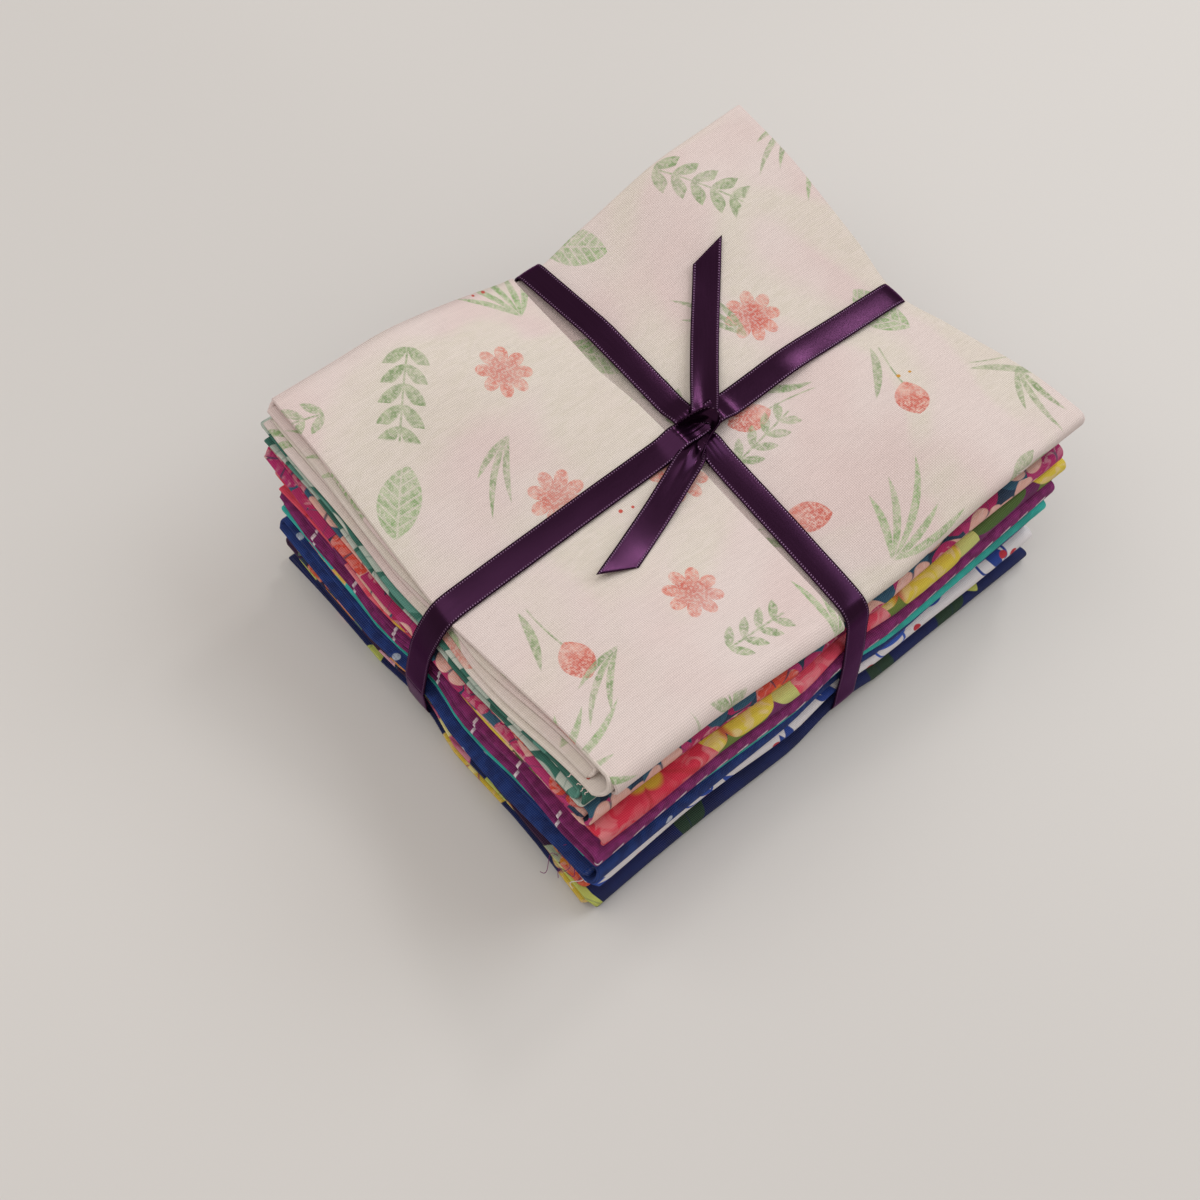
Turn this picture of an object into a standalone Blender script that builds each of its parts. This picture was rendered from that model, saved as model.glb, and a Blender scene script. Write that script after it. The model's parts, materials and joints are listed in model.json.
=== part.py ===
# Fat quarter bundle: ten cotton cloths, each folded to a flat packet, stacked a little askew and tied
# crosswise with a narrow satin ribbon that is knotted on top and leaves two free tails.
# Every cloth is one back-and-forth section of four passes. Its outer pass wraps round the front.
# The stack is laid out level first. One rule then draws it in along the two ribbon lines, and the
# same rule moves every cloth, so neighbours keep their gaps.
# X runs along the front of the packets, from the near corner to the right; +Y points to the back.
import math

import bmesh
import bpy

MM = 0.001

# One folded cloth, in millimetres before the tie squeezes it
PASS_THICKNESS = 0.95
PASS_PITCH = 1.22
PASS_COUNT = 4
CLOTH_PITCH = 5.0
OUTER_RADIUS = 1.5 * PASS_PITCH
INNER_RADIUS = 0.5 * PASS_PITCH
OUTER_FOLD_STEPS = 5
INNER_FOLD_STEPS = 3
COTTON_ROUGHNESS = 0.85

# The two ribbon lines on the stack and how far from them the cloth is drawn down
RIBBON_X = 2.5
RIBBON_Y = -1.0
VALLEY_HALF = 3.8
SHOULDER = 13.0
REACH = 40.0
SHOULDER_SHARE = 0.74

# Heights of the tied stack
TOP_LEFT = 48.6
TOP_RIGHT = 49.4
CORNER_RISE = 1.6
DIP_MIDDLE = 8.2
DIP_EDGE = 10.6
CHANNEL_MIDDLE = 1.9
CHANNEL_EDGE = 2.9
EDGE_PULL = 0.9
HALF_LENGTH = 70.0
HALF_WIDTH = 56.0

# The loose flap of the top cloth covers its left half. Its root reaches into the front fold, and its
# two sides start at these distances behind the root.
FLAP_THICKNESS = 1.0
FLAP_GAP = 0.3
FLAP_ROOT_SINK = 0.4
FLAP_UPPER_START = 1.4
FLAP_LOWER_ROOT = 1.6
FLAP_LOWER_START = 2.6
FLAP_LINES = 3

# The ribbon
RIBBON_WIDTH = 6.5
RIBBON_THICKNESS = 1.0
RIBBON_GAP = 0.5
RIBBON_FLOOR = 0.1
CROSS_EXTRA = 0.15
LINE_TOLERANCE = 0.01
HULL_STEP = 1.2
SATIN_ROUGHNESS = 0.35
KNOT_SIZE = (9.4, 8.0, 5.2)
KNOT_TURN = 38.0
KNOT_SINK = 1.3
KNOT_PINCH = 0.35
KNOT_SEGMENTS = 12
KNOT_RINGS = 7
TAIL_STEPS = 10
TAIL_EXIT_RISE = 0.8
TAIL_EASE = 0.25
TAIL_CLEARANCE = 1.6
TAIL_SKEW = 5.5

SMOOTH_ANGLE = 40.0

# The cloths from the top down. Left, right, front and back are the places of the packet's edges;
# near is the corner towards -X -Y, and each edge runs straight from its first to its second end.
CLOTH_COLUMNS = ("name", "left_near", "left_far", "right", "front_near", "front_right", "back",
                 "red", "green", "blue")
CLOTH_ROWS = (
    ("cloth_01_pale_pink", -69.4, -69.6, 69.8, -55.0, -56.0, 57.0, 0.79, 0.64, 0.59),
    ("cloth_02_teal", -71.4, -69.8, 68.4, -52.8, -54.0, 57.0, 0.05, 0.19, 0.16),
    ("cloth_03_magenta", -72.2, -72.4, 66.8, -55.2, -56.3, 54.2, 0.45, 0.03, 0.11),
    ("cloth_04_coral_floral", -71.2, -72.6, 68.4, -59.4, -57.6, 51.0, 0.76, 0.10, 0.15),
    ("cloth_05_plum_dash", -73.0, -73.2, 65.4, -60.6, -59.2, 49.5, 0.20, 0.02, 0.14),
    ("cloth_06_turquoise", -72.2, -73.8, 64.8, -58.8, -60.2, 48.4, 0.04, 0.48, 0.45),
    ("cloth_07_navy_dot", -75.0, -74.8, 62.6, -61.4, -58.8, 48.4, 0.01, 0.04, 0.19),
    ("cloth_08_white_cobalt", -74.2, -71.2, 62.4, -60.6, -60.8, 48.6, 0.81, 0.76, 0.80),
    ("cloth_09_dark_floral", -72.6, -73.6, 61.8, -58.2, -58.6, 49.0, 0.10, 0.04, 0.10),
    ("cloth_10_navy_floral", -73.8, -73.6, 64.2, -61.8, -61.4, 50.2, 0.01, 0.02, 0.11),
)

# How far each pass stops short of its packet's left and right end, from the bottom pass up
LEFT_SHORT = (0.0, 1.3, 0.4, 0.7)
RIGHT_SHORT = (0.5, 0.0, 1.2, 0.2)
BACK_SHORT = (0.6, 1.8)

# The two tails: the bearing from the knot over the top, the length along the ribbon, the sideways
# bow in the middle and which long edge ends further out
TAIL_COLUMNS = ("bearing", "length", "bow", "cut")
TAIL_ROWS = (
    (44.0, 47.0, -1.5, -1.0),
    (207.0, 45.0, 1.8, -1.0),
)

RIBBON_COLOUR = (0.055, 0.012, 0.075)


def rows(columns, table):
    return [dict(zip(columns, values)) for values in table]


def clear_scene():
    for old in list(bpy.data.objects):
        bpy.data.objects.remove(old, do_unlink=True)


def finish_material(name, colour, roughness):
    material = bpy.data.materials.new(name)
    material.use_nodes = True
    shader = material.node_tree.nodes["Principled BSDF"]
    shader.inputs["Base Color"].default_value = (*colour, 1.0)
    shader.inputs["Roughness"].default_value = roughness
    shader.inputs["Metallic"].default_value = 0.0
    return material


def grid_lines(centre):
    offsets = (VALLEY_HALF, SHOULDER, REACH)
    return [centre - o for o in reversed(offsets)] + [centre + o for o in offsets]


X_LINES = grid_lines(RIBBON_X)
Y_LINES = grid_lines(RIBBON_Y)


def drawn_share(distance):
    """How much of the full draw-in acts at a distance from a ribbon line, from 1 down to 0."""
    away = abs(distance)
    if away <= VALLEY_HALF:
        return 1.0
    if away <= SHOULDER:
        return 1.0 - (1.0 - SHOULDER_SHARE) * (away - VALLEY_HALF) / (SHOULDER - VALLEY_HALF)
    return max(0.0, SHOULDER_SHARE * (REACH - away) / (REACH - SHOULDER))


def channel_share(distance):
    """The same for the shallow channel underneath, which ends at the shoulder."""
    away = abs(distance)
    return max(0.0, min(1.0, (SHOULDER - away) / (SHOULDER - VALLEY_HALF)))


def either(first, second):
    return 1.0 - (1.0 - first) * (1.0 - second)


def top_height(x, y):
    """Height of the stack's level top face once it is tied."""
    across = (x + HALF_LENGTH) / (2.0 * HALF_LENGTH)
    level = TOP_LEFT + (TOP_RIGHT - TOP_LEFT) * across
    towards_end = max(0.0, (abs(x - RIBBON_X) - REACH) / (HALF_LENGTH - REACH))
    towards_side = max(0.0, (abs(y - RIBBON_Y) - REACH) / (HALF_WIDTH - REACH))
    rise = CORNER_RISE * towards_end * towards_side
    outward = max(abs(x) / HALF_LENGTH, abs(y) / HALF_WIDTH)
    dip = DIP_MIDDLE + (DIP_EDGE - DIP_MIDDLE) * outward
    return level + rise - dip * either(drawn_share(x - RIBBON_X), drawn_share(y - RIBBON_Y))


def under_height(x, y):
    """Height of the stack's level under face once it is tied: flat, but for the ribbon channels."""
    outward = max(abs(x) / HALF_LENGTH, abs(y) / HALF_WIDTH)
    depth = CHANNEL_MIDDLE + (CHANNEL_EDGE - CHANNEL_MIDDLE) * outward
    return depth * either(channel_share(x - RIBBON_X), channel_share(y - RIBBON_Y))


STACK_HEIGHT = CLOTH_PITCH * len(CLOTH_ROWS)


def tied(x, y, z):
    """Moves a point of the level stack to its place in the tied one."""
    low = under_height(x, y)
    return (x, y, low + (top_height(x, y) - low) * z / STACK_HEIGHT)


def blend(first, second, share):
    return first + (second - first) * share


def front_edge(cloth, x):
    share = (x + HALF_LENGTH) / (2.0 * HALF_LENGTH)
    pull = EDGE_PULL * channel_share(x - RIBBON_X)
    return blend(cloth["front_near"], cloth["front_right"], share) + pull


def back_edge(cloth, x):
    return cloth["back"] - EDGE_PULL * channel_share(x - RIBBON_X)


def left_edge(cloth, y):
    share = (y + HALF_WIDTH) / (2.0 * HALF_WIDTH)
    return blend(cloth["left_near"], cloth["left_far"], share) + EDGE_PULL * channel_share(y - RIBBON_Y)


def right_edge(cloth, y):
    return cloth["right"] - EDGE_PULL * channel_share(y - RIBBON_Y)


def arc(centre_y, centre_z, radius, start, end, steps, side, from_pass, to_pass):
    """Points of a fold, each with its outward offset direction and the pass that it is nearest to."""
    points = []
    for step in range(steps + 1):
        share = step / steps
        angle = math.radians(blend(start, end, share))
        out = (math.cos(angle), math.sin(angle))
        place = (centre_y + radius * out[0], centre_z + radius * out[1])
        points.append((*place, side * out[0], side * out[1], blend(from_pass, to_pass, share)))
    return points


def run(lines, height, side, number):
    """Points of one flat pass over the grid lines."""
    return [(y, height, 0.0, side, number) for y in lines]


def section(front, back, base):
    """The folded section as its middle line: (y, z, side y, side z, pass number)."""
    centre = [base + PASS_THICKNESS / 2 + PASS_PITCH * number for number in range(PASS_COUNT)]
    fold_y = front + OUTER_RADIUS + PASS_THICKNESS / 2
    back_y = back - INNER_RADIUS - PASS_THICKNESS / 2
    middle = base + PASS_THICKNESS / 2 + OUTER_RADIUS
    up = Y_LINES
    down = list(reversed(Y_LINES))
    path = [(back - BACK_SHORT[0], centre[0], 0.0, -1.0, 0.0)]
    path += run(down, centre[0], -1.0, 0.0)
    path += arc(fold_y, middle, OUTER_RADIUS, -90.0, -270.0, OUTER_FOLD_STEPS, 1.0, 0.0, 3.0)
    path += run(up, centre[3], 1.0, 3.0)
    back_z = centre[2] + INNER_RADIUS
    path += arc(back_y, back_z, INNER_RADIUS, 90.0, -90.0, INNER_FOLD_STEPS, 1.0, 3.0, 2.0)
    path += run(down, centre[2], -1.0, 2.0)
    path += arc(fold_y, middle, INNER_RADIUS, 90.0, 270.0, INNER_FOLD_STEPS, -1.0, 2.0, 1.0)
    path += run(up, centre[1], 1.0, 1.0)
    path.append((back - BACK_SHORT[1], centre[1], 0.0, 1.0, 1.0))
    return path


def pass_value(values, number):
    """Reads a value given for each pass at a place that may lie between two passes."""
    low = min(int(number), len(values) - 2)
    return blend(values[low], values[low + 1], number - low)


def slice_points(cloth, place, base):
    """The two sides of the folded section at one slice, before and after each middle point."""
    lean = {"left": -HALF_LENGTH, "right": HALF_LENGTH}.get(place, place)
    path = section(front_edge(cloth, lean), back_edge(cloth, lean), base)
    sides = ([], [])
    for y, z, side_y, side_z, number in path:
        if place == "left":
            x = left_edge(cloth, y) + pass_value(LEFT_SHORT, number)
        elif place == "right":
            x = right_edge(cloth, y) - pass_value(RIGHT_SHORT, number)
        else:
            x = place
        for points, sign in zip(sides, (1.0, -1.0)):
            half = sign * PASS_THICKNESS / 2
            points.append((x, y + half * side_y, z + half * side_z))
    return sides


def add_ring(mesh, points):
    return [mesh.verts.new([value * MM for value in tied(*point)]) for point in points]


def split_quad(mesh, a, b, c, d):
    """Two triangles, cut in plan along the diagonal that points away from the ribbons' crossing.

    Every layer is cut the same way, so the layers stay parallel.
    """
    middle = (a.co + c.co) / 2
    outward = (middle.x - RIBBON_X * MM) * (middle.y - RIBBON_Y * MM) > 0.0
    if (a.co.y < b.co.y) == outward:
        mesh.faces.new((a, b, c))
        mesh.faces.new((a, c, d))
    else:
        mesh.faces.new((a, b, d))
        mesh.faces.new((b, c, d))


def bridge(mesh, first, second):
    count = len(first)
    for index in range(count):
        following = (index + 1) % count
        split_quad(mesh, first[index], first[following], second[following], second[index])


def strip_cap(mesh, side, other):
    """Closes the end of a strip whose two long sides are given as matching lists."""
    for index in range(len(side) - 1):
        mesh.faces.new((side[index], side[index + 1], other[index + 1]))
        mesh.faces.new((side[index], other[index + 1], other[index]))


def mesh_object(name, mesh, material):
    bmesh.ops.recalc_face_normals(mesh, faces=mesh.faces)
    data = bpy.data.meshes.new(name)
    mesh.to_mesh(data)
    mesh.free()
    data.materials.append(material)
    made = bpy.data.objects.new(name, data)
    bpy.context.scene.collection.objects.link(made)
    data.shade_smooth()
    data.set_sharp_from_angle(angle=math.radians(SMOOTH_ANGLE))
    return made


def folded_cloth(cloth, base):
    """One cloth as its folded section, carried from the left end to the right end."""
    mesh = bmesh.new()
    slices = []
    for place in ["left"] + X_LINES + ["right"]:
        side, other = slice_points(cloth, place, base)
        slices.append((add_ring(mesh, side), add_ring(mesh, other)))
    for (side_a, other_a), (side_b, other_b) in zip(slices, slices[1:]):
        bridge(mesh, side_a + list(reversed(other_a)), side_b + list(reversed(other_b)))
    strip_cap(mesh, *slices[0])
    strip_cap(mesh, *slices[-1])
    return mesh


def flap_outline(cloth, lean, base):
    """Upper and lower side of the flap at one slice, from its root at the front fold to the back."""
    top = base + PASS_THICKNESS + 3.0 * PASS_PITCH
    low = top + FLAP_GAP
    high = low + FLAP_THICKNESS
    root = front_edge(cloth, lean) + PASS_THICKNESS / 2 + OUTER_RADIUS
    end = back_edge(cloth, lean)
    sunk = top - FLAP_ROOT_SINK
    upper = [(root - FLAP_ROOT_SINK, sunk), (root + FLAP_UPPER_START, high)]
    upper += [(y, high) for y in Y_LINES] + [(end, high)]
    lower = [(root + FLAP_LOWER_ROOT, sunk), (root + FLAP_LOWER_START, low)]
    lower += [(y, low) for y in Y_LINES] + [(end, low)]
    return upper, lower


def flap(cloth, base):
    """The loose upper layer on the left half of the top cloth, rooted in its front fold."""
    mesh = bmesh.new()
    slices = []
    for place in ["left"] + X_LINES[:FLAP_LINES]:
        lean = -HALF_LENGTH if place == "left" else place
        sides = []
        for points in flap_outline(cloth, lean, base):
            ring = []
            for y, z in points:
                x = left_edge(cloth, y) + LEFT_SHORT[1] if place == "left" else place
                ring.append((x, y, z))
            sides.append(add_ring(mesh, ring))
        slices.append(sides)
    for (upper_a, lower_a), (upper_b, lower_b) in zip(slices, slices[1:]):
        bridge(mesh, upper_a + list(reversed(lower_a)), upper_b + list(reversed(lower_b)))
    strip_cap(mesh, *slices[0])
    strip_cap(mesh, *slices[-1])
    return mesh


def joined(target, tool):
    """Fuses a second mesh into an object with a union, and hides the tool."""
    tool.hide_render = True
    tool.display_type = "WIRE"
    union = target.modifiers.new("fuse_" + tool.name, "BOOLEAN")
    union.operation = "UNION"
    union.solver = "EXACT"
    union.object = tool


def hull(points):
    """The convex outline of flat points, anticlockwise."""
    ordered = sorted(set(points))

    def half(sequence):
        chain = []
        for point in sequence:
            while len(chain) > 1 and turn(chain[-2], chain[-1], point) <= 0.0:
                chain.pop()
            chain.append(point)
        return chain[:-1]

    return half(ordered) + half(list(reversed(ordered)))


def turn(a, b, c):
    return (b[0] - a[0]) * (c[1] - a[1]) - (b[1] - a[1]) * (c[0] - a[0])


def offset_outline(outline, distance):
    """Moves a convex outline outwards, with mitred corners, and drops points that are too close."""
    kept = [outline[0]]
    for point in outline[1:]:
        if math.dist(point, kept[-1]) > HULL_STEP:
            kept.append(point)
    if math.dist(kept[0], kept[-1]) < HULL_STEP:
        kept.pop()
    moved = []
    for index, point in enumerate(kept):
        before = kept[index - 1]
        after = kept[(index + 1) % len(kept)]
        first = unit_normal(before, point)
        second = unit_normal(point, after)
        scale = distance / (1.0 + first[0] * second[0] + first[1] * second[1])
        moved.append((point[0] + (first[0] + second[0]) * scale, point[1] + (first[1] + second[1]) * scale))
    return moved


def unit_normal(a, b):
    length = math.dist(a, b)
    return ((b[1] - a[1]) / length, (a[0] - b[0]) / length)


def cloth_points(objects, axis, lines):
    """Flat points of the cloths on two grid lines, as the ribbon that lies over them meets them."""
    other = 1 - axis
    found = []
    for item in objects:
        for vertex in item.data.vertices:
            if min(abs(vertex.co[axis] - line * MM) for line in lines) < LINE_TOLERANCE * MM:
                found.append((vertex.co[other] / MM, vertex.co[2] / MM))
    return found


def band(name, objects, axis, centre, thickness, material):
    """A taut closed loop of ribbon round the stack, in a plane across the given axis."""
    lines = (centre - VALLEY_HALF, centre + VALLEY_HALF)
    outline = hull(cloth_points(objects, axis, lines))
    inner = offset_outline(outline, RIBBON_GAP)
    outer = offset_outline(outline, RIBBON_GAP + thickness)
    mesh = bmesh.new()
    rings = []
    for edge, points in ((-0.5, inner), (0.5, inner), (0.5, outer), (-0.5, outer)):
        side = centre + edge * RIBBON_WIDTH
        if axis == 0:
            places = [(side, a, max(b, RIBBON_FLOOR)) for a, b in points]
        else:
            places = [(a, side, max(b, RIBBON_FLOOR)) for a, b in points]
        rings.append([mesh.verts.new([value * MM for value in place]) for place in places])
    for ring, following in zip(rings, rings[1:] + rings[:1]):
        count = len(ring)
        for index in range(count):
            after = (index + 1) % count
            mesh.faces.new((ring[index], ring[after], following[after], following[index]))
    return mesh_object(name, mesh, material)


def knot(material):
    """The knot: a small rounded lump of wound ribbon over the crossing."""
    mesh = bmesh.new()
    bmesh.ops.create_uvsphere(mesh, u_segments=KNOT_SEGMENTS, v_segments=KNOT_RINGS, radius=0.5)
    turned = math.radians(KNOT_TURN)
    floor = top_height(RIBBON_X, RIBBON_Y) + FLAP_GAP + FLAP_THICKNESS + RIBBON_GAP
    lift = floor + KNOT_SINK
    for vertex in mesh.verts:
        pinch = 1.0 - KNOT_PINCH * math.cos(math.pi * vertex.co.x) ** 2 * abs(vertex.co.y) * 2.0
        x = vertex.co.x * KNOT_SIZE[0]
        y = vertex.co.y * KNOT_SIZE[1] * pinch
        z = vertex.co.z * KNOT_SIZE[2]
        place = (x * math.cos(turned) - y * math.sin(turned), x * math.sin(turned) + y * math.cos(turned))
        height = max(floor, lift + z)
        vertex.co = ((RIBBON_X + place[0]) * MM, (RIBBON_Y + place[1]) * MM, height * MM)
    return mesh_object("knot_lump", mesh, material)


def tail(name, row, material):
    """A free end of the ribbon, lying over the top cloth from the knot to its slanting cut."""
    mesh = bmesh.new()
    bearing = math.radians(row["bearing"])
    ahead = (math.cos(bearing), math.sin(bearing))
    aside = (-ahead[1], ahead[0])
    rings = []
    for step in range(TAIL_STEPS + 1):
        share = step / TAIL_STEPS
        along = row["length"] * share
        bow = row["bow"] * math.sin(math.pi * share)
        ring = []
        for edge in (-0.5, 0.5):
            reach = along + share * row["cut"] * edge * TAIL_SKEW
            x = RIBBON_X + ahead[0] * reach + aside[0] * (bow + edge * RIBBON_WIDTH)
            y = RIBBON_Y + ahead[1] * reach + aside[1] * (bow + edge * RIBBON_WIDTH)
            ring.append((x, y, share))
        rings.append(ring)
    low = [[mesh.verts.new((x * MM, y * MM, tail_height(x, y, share) * MM)) for x, y, share in ring]
           for ring in rings]
    high = [[mesh.verts.new((v.co.x, v.co.y, v.co.z + RIBBON_THICKNESS * MM)) for v in ring] for ring in low]
    loops = [[a[0], a[1], b[1], b[0]] for a, b in zip(low, high)]
    for first, second in zip(loops, loops[1:]):
        for index in range(4):
            after = (index + 1) % 4
            mesh.faces.new((first[index], first[after], second[after], second[index]))
    mesh.faces.new(loops[0])
    mesh.faces.new(loops[-1])
    return mesh_object(name, mesh, material)


def tail_height(x, y, share):
    """The tail leaves the knot at its middle, then rests just above the flap or the lower layer."""
    from_knot = top_height(RIBBON_X, RIBBON_Y) + RIBBON_GAP + RIBBON_THICKNESS + TAIL_EXIT_RISE
    rest = top_height(x, y) + TAIL_CLEARANCE
    if x < RIBBON_X:
        rest += FLAP_GAP + FLAP_THICKNESS
    ease = min(1.0, share / TAIL_EASE)
    return max(blend(from_knot, rest, ease), rest)


def recentre():
    """Moves every mesh so that the origin is the middle of the underside of the whole bundle."""
    bpy.context.view_layer.update()
    depsgraph = bpy.context.evaluated_depsgraph_get()
    low = [math.inf] * 3
    high = [-math.inf] * 3
    for item in bpy.data.objects:
        if item.hide_render:
            continue
        for vertex in item.evaluated_get(depsgraph).data.vertices:
            for axis in range(3):
                low[axis] = min(low[axis], vertex.co[axis])
                high[axis] = max(high[axis], vertex.co[axis])
    shift = (-(low[0] + high[0]) / 2, -(low[1] + high[1]) / 2, -low[2])
    for item in bpy.data.objects:
        for vertex in item.data.vertices:
            vertex.co = [value + move for value, move in zip(vertex.co, shift)]
    print("bundle moved by", [round(value / MM, 3) for value in shift], "mm")
    print("size", [round((top - bottom) / MM, 2) for top, bottom in zip(high, low)], "mm")


def main():
    clear_scene()
    cloths = rows(CLOTH_COLUMNS, CLOTH_ROWS)
    made = []
    for number, cloth in enumerate(cloths):
        base = STACK_HEIGHT - CLOTH_PITCH * (number + 1)
        colour = (cloth["red"], cloth["green"], cloth["blue"])
        material = finish_material(cloth["name"] + "_cotton", colour, COTTON_ROUGHNESS)
        made.append(mesh_object(cloth["name"], folded_cloth(cloth, base), material))
    top_cloth = cloths[0]
    top_base = STACK_HEIGHT - CLOTH_PITCH
    flap_layer = mesh_object("flap_layer", flap(top_cloth, top_base), made[0].data.materials[0])
    satin = finish_material("plum_satin_ribbon", RIBBON_COLOUR, SATIN_ROUGHNESS)
    tie = band("ribbon_tie", made, 0, RIBBON_X, RIBBON_THICKNESS, satin)
    cross_thickness = RIBBON_THICKNESS + CROSS_EXTRA
    cross = band("cross_band", made + [flap_layer], 1, RIBBON_Y, cross_thickness, satin)
    joined(made[0], flap_layer)
    joined(tie, cross)
    joined(tie, knot(satin))
    for number, row in enumerate(rows(TAIL_COLUMNS, TAIL_ROWS)):
        joined(tie, tail("tail_" + str(number + 1), row, satin))
    recentre()


main()
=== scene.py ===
# Looks of a fat quarter bundle: ten printed quilting cottons, each folded to a packet of sixteen
# plies, stacked a little askew and tied crosswise with a narrow plum satin ribbon.
# Lengths are millimetres in the stack's own frame, where X runs along the front folds, Y points to
# the back and Z is up. SHIFT takes them to the frame of the solids.
import json
import math

import bmesh
import bpy
import numpy as np
from bpy.props import FloatProperty, FloatVectorProperty, PointerProperty
from mathutils import Matrix, Vector

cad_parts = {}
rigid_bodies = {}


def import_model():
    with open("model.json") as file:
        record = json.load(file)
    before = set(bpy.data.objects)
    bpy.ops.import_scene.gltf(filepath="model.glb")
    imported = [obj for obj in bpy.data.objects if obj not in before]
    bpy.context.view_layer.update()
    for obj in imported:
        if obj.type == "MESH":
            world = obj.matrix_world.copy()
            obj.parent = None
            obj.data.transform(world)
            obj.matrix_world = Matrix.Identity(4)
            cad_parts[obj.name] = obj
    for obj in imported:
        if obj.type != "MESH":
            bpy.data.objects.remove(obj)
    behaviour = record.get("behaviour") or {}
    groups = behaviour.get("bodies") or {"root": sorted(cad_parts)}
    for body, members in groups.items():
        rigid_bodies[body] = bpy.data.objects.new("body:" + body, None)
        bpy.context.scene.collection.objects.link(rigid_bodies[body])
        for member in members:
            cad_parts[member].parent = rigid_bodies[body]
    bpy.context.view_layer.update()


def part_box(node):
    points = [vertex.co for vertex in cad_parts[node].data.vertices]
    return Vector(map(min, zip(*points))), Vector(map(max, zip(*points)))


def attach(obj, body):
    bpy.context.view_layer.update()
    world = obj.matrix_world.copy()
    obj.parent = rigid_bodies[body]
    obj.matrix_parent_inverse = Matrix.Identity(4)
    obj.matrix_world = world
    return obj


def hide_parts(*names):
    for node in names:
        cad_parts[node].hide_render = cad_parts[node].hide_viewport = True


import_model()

bl_info = {
    "name": "Fat quarter bundle",
    "version": (1, 0, 0),
    "blender": (4, 5, 0),
    "location": "3D View > Sidebar > Bundle",
    "description": "Folds, prints and ties a stack of quilting cottons around its solids",
    "category": "Object",
}

MM = 0.001

# The whole cloth, flat and in metres, and the packets that it is folded to. A fold's outside and inside
# radii are in pitches.
PASS_PITCH = 1.24
CLOTH_PITCH = 5.0
PASSES = 4
OUTER = 1.5
INNER = 0.5

# How finely a sheet is divided: its runs across and along, its steps near the ribbon and further off, and
# its steps round the outside and the inside of a fold
RUN_X = (-68.0, 68.0)
RUN_Y = (-53.0, 52.0)
NEAR_RIBBON = 15.0
TOP_STEPS = (2.4, 3.4)
LOWER_STEPS = (4.0, 8.0)
CROSS_FOLD_STEPS = (8, 5)
LONG_FOLD_STEPS = (12, 6)

# The ribbon lines and the shape of the tied stack, as in the solids
RIBBON_X = 2.5
RIBBON_Y = -1.0
VALLEY_HALF = 3.8
SHOULDER = 13.0
REACH = 40.0
SHOULDER_SHARE = 0.74
TOP_LEFT = 48.6
TOP_RIGHT = 49.4
CORNER_RISE = 1.6
DIP_MIDDLE = 8.2
DIP_EDGE = 10.6
CHANNEL_MIDDLE = 1.9
CHANNEL_EDGE = 2.9
EDGE_PULL = 0.9
HALF_LENGTH = 70.0
HALF_WIDTH = 56.0
SOFTEN = (-4.0, -2.4, -0.8, 0.8, 2.4, 4.0)

# Soft swellings and hollows of the tied top: place, radius and height
MOUND_COLUMNS = ("x", "y", "radius", "height")
MOUND_ROWS = (
    (32.0, -1.0, 17.0, 2.6),
    (-24.0, 40.0, 20.0, 2.6),
    (17.0, 50.0, 15.0, -1.4),
    (-34.0, -26.0, 18.0, 0.7),
    (40.0, -34.0, 16.0, 0.8),
    (22.0, 24.0, 12.0, -0.7),
)

# Creases of the top cloth: middle, direction in degrees, half length, half width and height, which is
# negative in a trough. Each bends a little aside.
CREASE_BEND = 0.6
CREASE_BEND_LENGTH = 5.0
CREASE_COLUMNS = ("x", "y", "angle", "length", "width", "height")
CREASE_ROWS = (
    (29.5, -6.5, -24.0, 8.0, 3.0, -1.3),
    (48.0, -10.0, -24.0, 11.0, 4.4, 0.7),
    (20.0, -9.0, -58.0, 9.0, 3.2, 0.6),
    (13.5, -19.0, 86.0, 14.0, 3.8, 0.5),
    (48.0, -28.0, -40.0, 15.0, 5.0, -0.7),
    (58.0, -36.0, 20.0, 11.0, 3.6, 0.4),
    (22.0, 12.0, 38.0, 10.0, 2.8, 0.45),
    (33.0, 40.0, 12.0, 15.0, 4.4, -0.5),
    (59.0, 25.0, 74.0, 12.0, 3.6, 0.4),
    (-12.0, 12.0, -38.0, 10.0, 3.0, 0.4),
    (-38.0, 25.0, 66.0, 15.0, 4.6, -0.5),
    (-56.0, 12.0, 82.0, 20.0, 2.4, 0.35),
    (-24.0, -34.0, 24.0, 16.0, 4.4, -0.45),
    (-47.0, -22.0, -58.0, 13.0, 3.2, 0.4),
    (-8.0, -14.0, -70.0, 9.0, 2.8, 0.35),
)

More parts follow.
